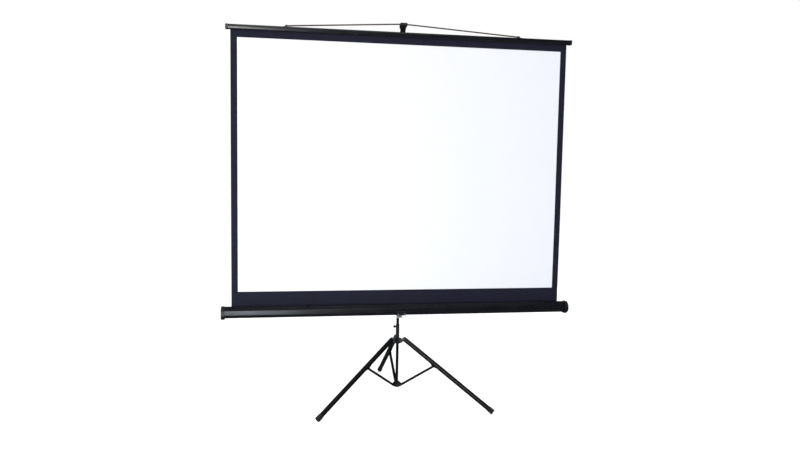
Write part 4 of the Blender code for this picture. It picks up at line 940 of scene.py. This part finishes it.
# %% Shape what a leg is made of
PIN_RADIUS, PIN_HEAD, PEENED, HEAD_THICK, HEAD_THIN = 0.002, 0.0034, 0.94, 0.0012, 0.0011
HUB_EARS, BRACE_EARS, HOOK_EARS = 0.009, 0.0065, 0.012
FOOT_RADIUS, FOOT_FLOOR, FOOT_HEIGHT = 0.0143, 0.003, 0.0300
FOOT_GROOVES = (0.0085, 0.0125, 0.0165)
QUARTER = [(math.cos(math.radians(t)), math.sin(math.radians(t))) for t in range(0, 91, 15)]


def pin(half_width, axis="Y"):
    """A solid rivet: a dome at one end, a flatter peened head at the other."""
    inside = half_width + 0.0003
    top = [(PIN_HEAD * c, inside + 0.0003 + HEAD_THICK * s) for c, s in QUARTER]
    low = [(PIN_HEAD * PEENED * c ** 0.5 if c > 1e-9 else 0, -inside - 0.0002 - HEAD_THIN * s)
           for c, s in QUARTER]
    return lathed([*reversed(low), (PIN_HEAD * PEENED, -inside), (PIN_RADIUS, -inside),
                   (PIN_RADIUS, inside), (PIN_HEAD, inside), *top], axis=axis, steps=28)


def leg_tube():
    """The tube between the foot and the top moulding, with its cut ends broken."""
    low, high, cut = LEG_END + TUBE_START, BRACE_PITCH - TUBE_STOP, 0.0003
    inner = LEG_RADIUS - LEG_WALL
    return lathed([(inner, low), (LEG_RADIUS - cut, low), (LEG_RADIUS, low + cut),
                   (LEG_RADIUS, high - cut), (LEG_RADIUS - cut, high), (inner, high)],
                  steps=48, ring=True)


def foot():
    """A rubber cap with a rounded sole and three grooves, before it is cut by the floor."""
    outer, bore, rib, sole = FOOT_RADIUS, LEG_RADIUS + 0.0003, 0.0007, 0.0026
    profile = [(0, 0)] + [(outer - sole + sole * s, sole - sole * c) for c, s in QUARTER]
    for z in FOOT_GROOVES:
        profile += [(outer, z), (outer - rib, z + 0.0004), (outer - rib, z + 0.0014),
                    (outer, z + 0.0018)]
    profile += [(outer, 0.0285), (outer - 0.0004, 0.0295), (outer - 0.0010, FOOT_HEIGHT),
                (bore, FOOT_HEIGHT), (bore, FOOT_FLOOR), (0, FOOT_FLOOR)]
    return lathed([(r, LEG_END + z) for r, z in profile], steps=48)


print("leg tube", round(LEG_LENGTH - TUBE_START - TUBE_STOP, 4), "m")

# %% Fit the legs
for side in LEG_TURNS:
    plane, leg_place = leg_frames(side)
    slide = leg_place @ Matrix.Translation((LEG_OFFSET, 0, 0))
    body = side + "_leg"
    piece(f"leg_{side}", leg_tube(), body, leg_paint, replaces=["leg_tube_" + side], place=slide)

    shoe = foot()
    bmesh.ops.transform(shoe, matrix=slide, verts=shoe.verts)
    bmesh.ops.bisect_plane(shoe, geom=[*shoe.verts, *shoe.edges, *shoe.faces], dist=1e-6,
                           plane_co=(0, 0, 0), plane_no=(0, 0, 1), clear_inner=True)
    bmesh.ops.holes_fill(shoe, edges=[e for e in shoe.edges if e.is_boundary])
    shod = piece(f"shoe_{side}", shoe, body, rubber, replaces=["foot_" + side])
    print("shoe", side, "lowest", round(min(v.co.z for v in shod.data.vertices), 5))

    softened("leg_top_" + side, "leg_head_" + side, body, grey_plastic, 0.0007)
    softened("leg_lug_" + side, "leg_saddle_" + side, body, leg_paint, 0.0003)
    softened("brace_" + side, "channel_brace_" + side, side + "_brace", leg_paint, 0.0005)

    for label, half, place, rides in (
        ("lower", HUB_EARS, plane @ Matrix.Translation((PIVOT_RADIUS, 0, LOWER_Z)), "stand"),
        ("upper", HUB_EARS, plane @ Matrix.Translation((PIVOT_RADIUS, 0, UPPER_Z)), "collar"),
        ("middle", BRACE_EARS, leg_place, side + "_brace"),
    ):
        piece(f"{label}_rivet_{side}", pin(half), rides, dark_steel, place=place,
              replaces=[f"{label}_pin_{side}"])

# %% Rivet the saddles to the legs
TACK_ANGLE, TACK_Z, TACK_LIFT = 42, 0.0152, 0.0015
for side in LEG_TURNS:
    leg_place = leg_frames(side)[1]
    for step, (way, z) in enumerate(((1, TACK_Z), (-1, TACK_Z), (1, -TACK_Z), (-1, -TACK_Z))):
        turn = math.radians(180 - way * TACK_ANGLE)
        out = Vector((math.cos(turn), math.sin(turn), 0))
        at = Vector((LEG_OFFSET, 0, z)) + out * (LEG_RADIUS + TACK_LIFT)
        piece(f"saddle_tack_{side}_{step}", dome(0.0020, 0.0008, steps=20), side + "_leg",
              dark_steel, place=leg_place @ facing(at, out))

# %% Pin the hook to the mast
piece("hook_pin", pin(HOOK_EARS, axis="X"), "extension", plated_steel, replaces=["head_pin"],
      place=Matrix.Translation((0, MAST_Y, 1.969)))

# %% [markdown]
# ## What stays from the frame
# The roller and its spring are inside the case, where their frame shapes are already right.
# They only need finishes. A frame piece keeps its mesh, so nothing is done to it beyond giving
# its material slots a new material.

# %% Give the frame's own pieces their finishes
FINISH_OF = {
    "case_paint": case_paint, "bar_paint": bar_paint, "black_plastic": black_plastic,
    "grey_plastic": grey_plastic, "leg_paint": leg_paint, "plated_steel": plated_steel,
    "rubber": rubber, "screen_fabric": back_coat, "cord": braid,
}
kept = []
for name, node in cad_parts.items():
    if node.hide_render:
        continue
    kept.append(name)
    for held in node.material_slots:
        known = held.material.name.split(".")[0] if held.material else "plated_steel"
        held.material = FINISH_OF.get(known, plated_steel)
    if name == "roller_spring":
        node.material_slots[0].material = spring_wire
print("kept from the frame:", kept)
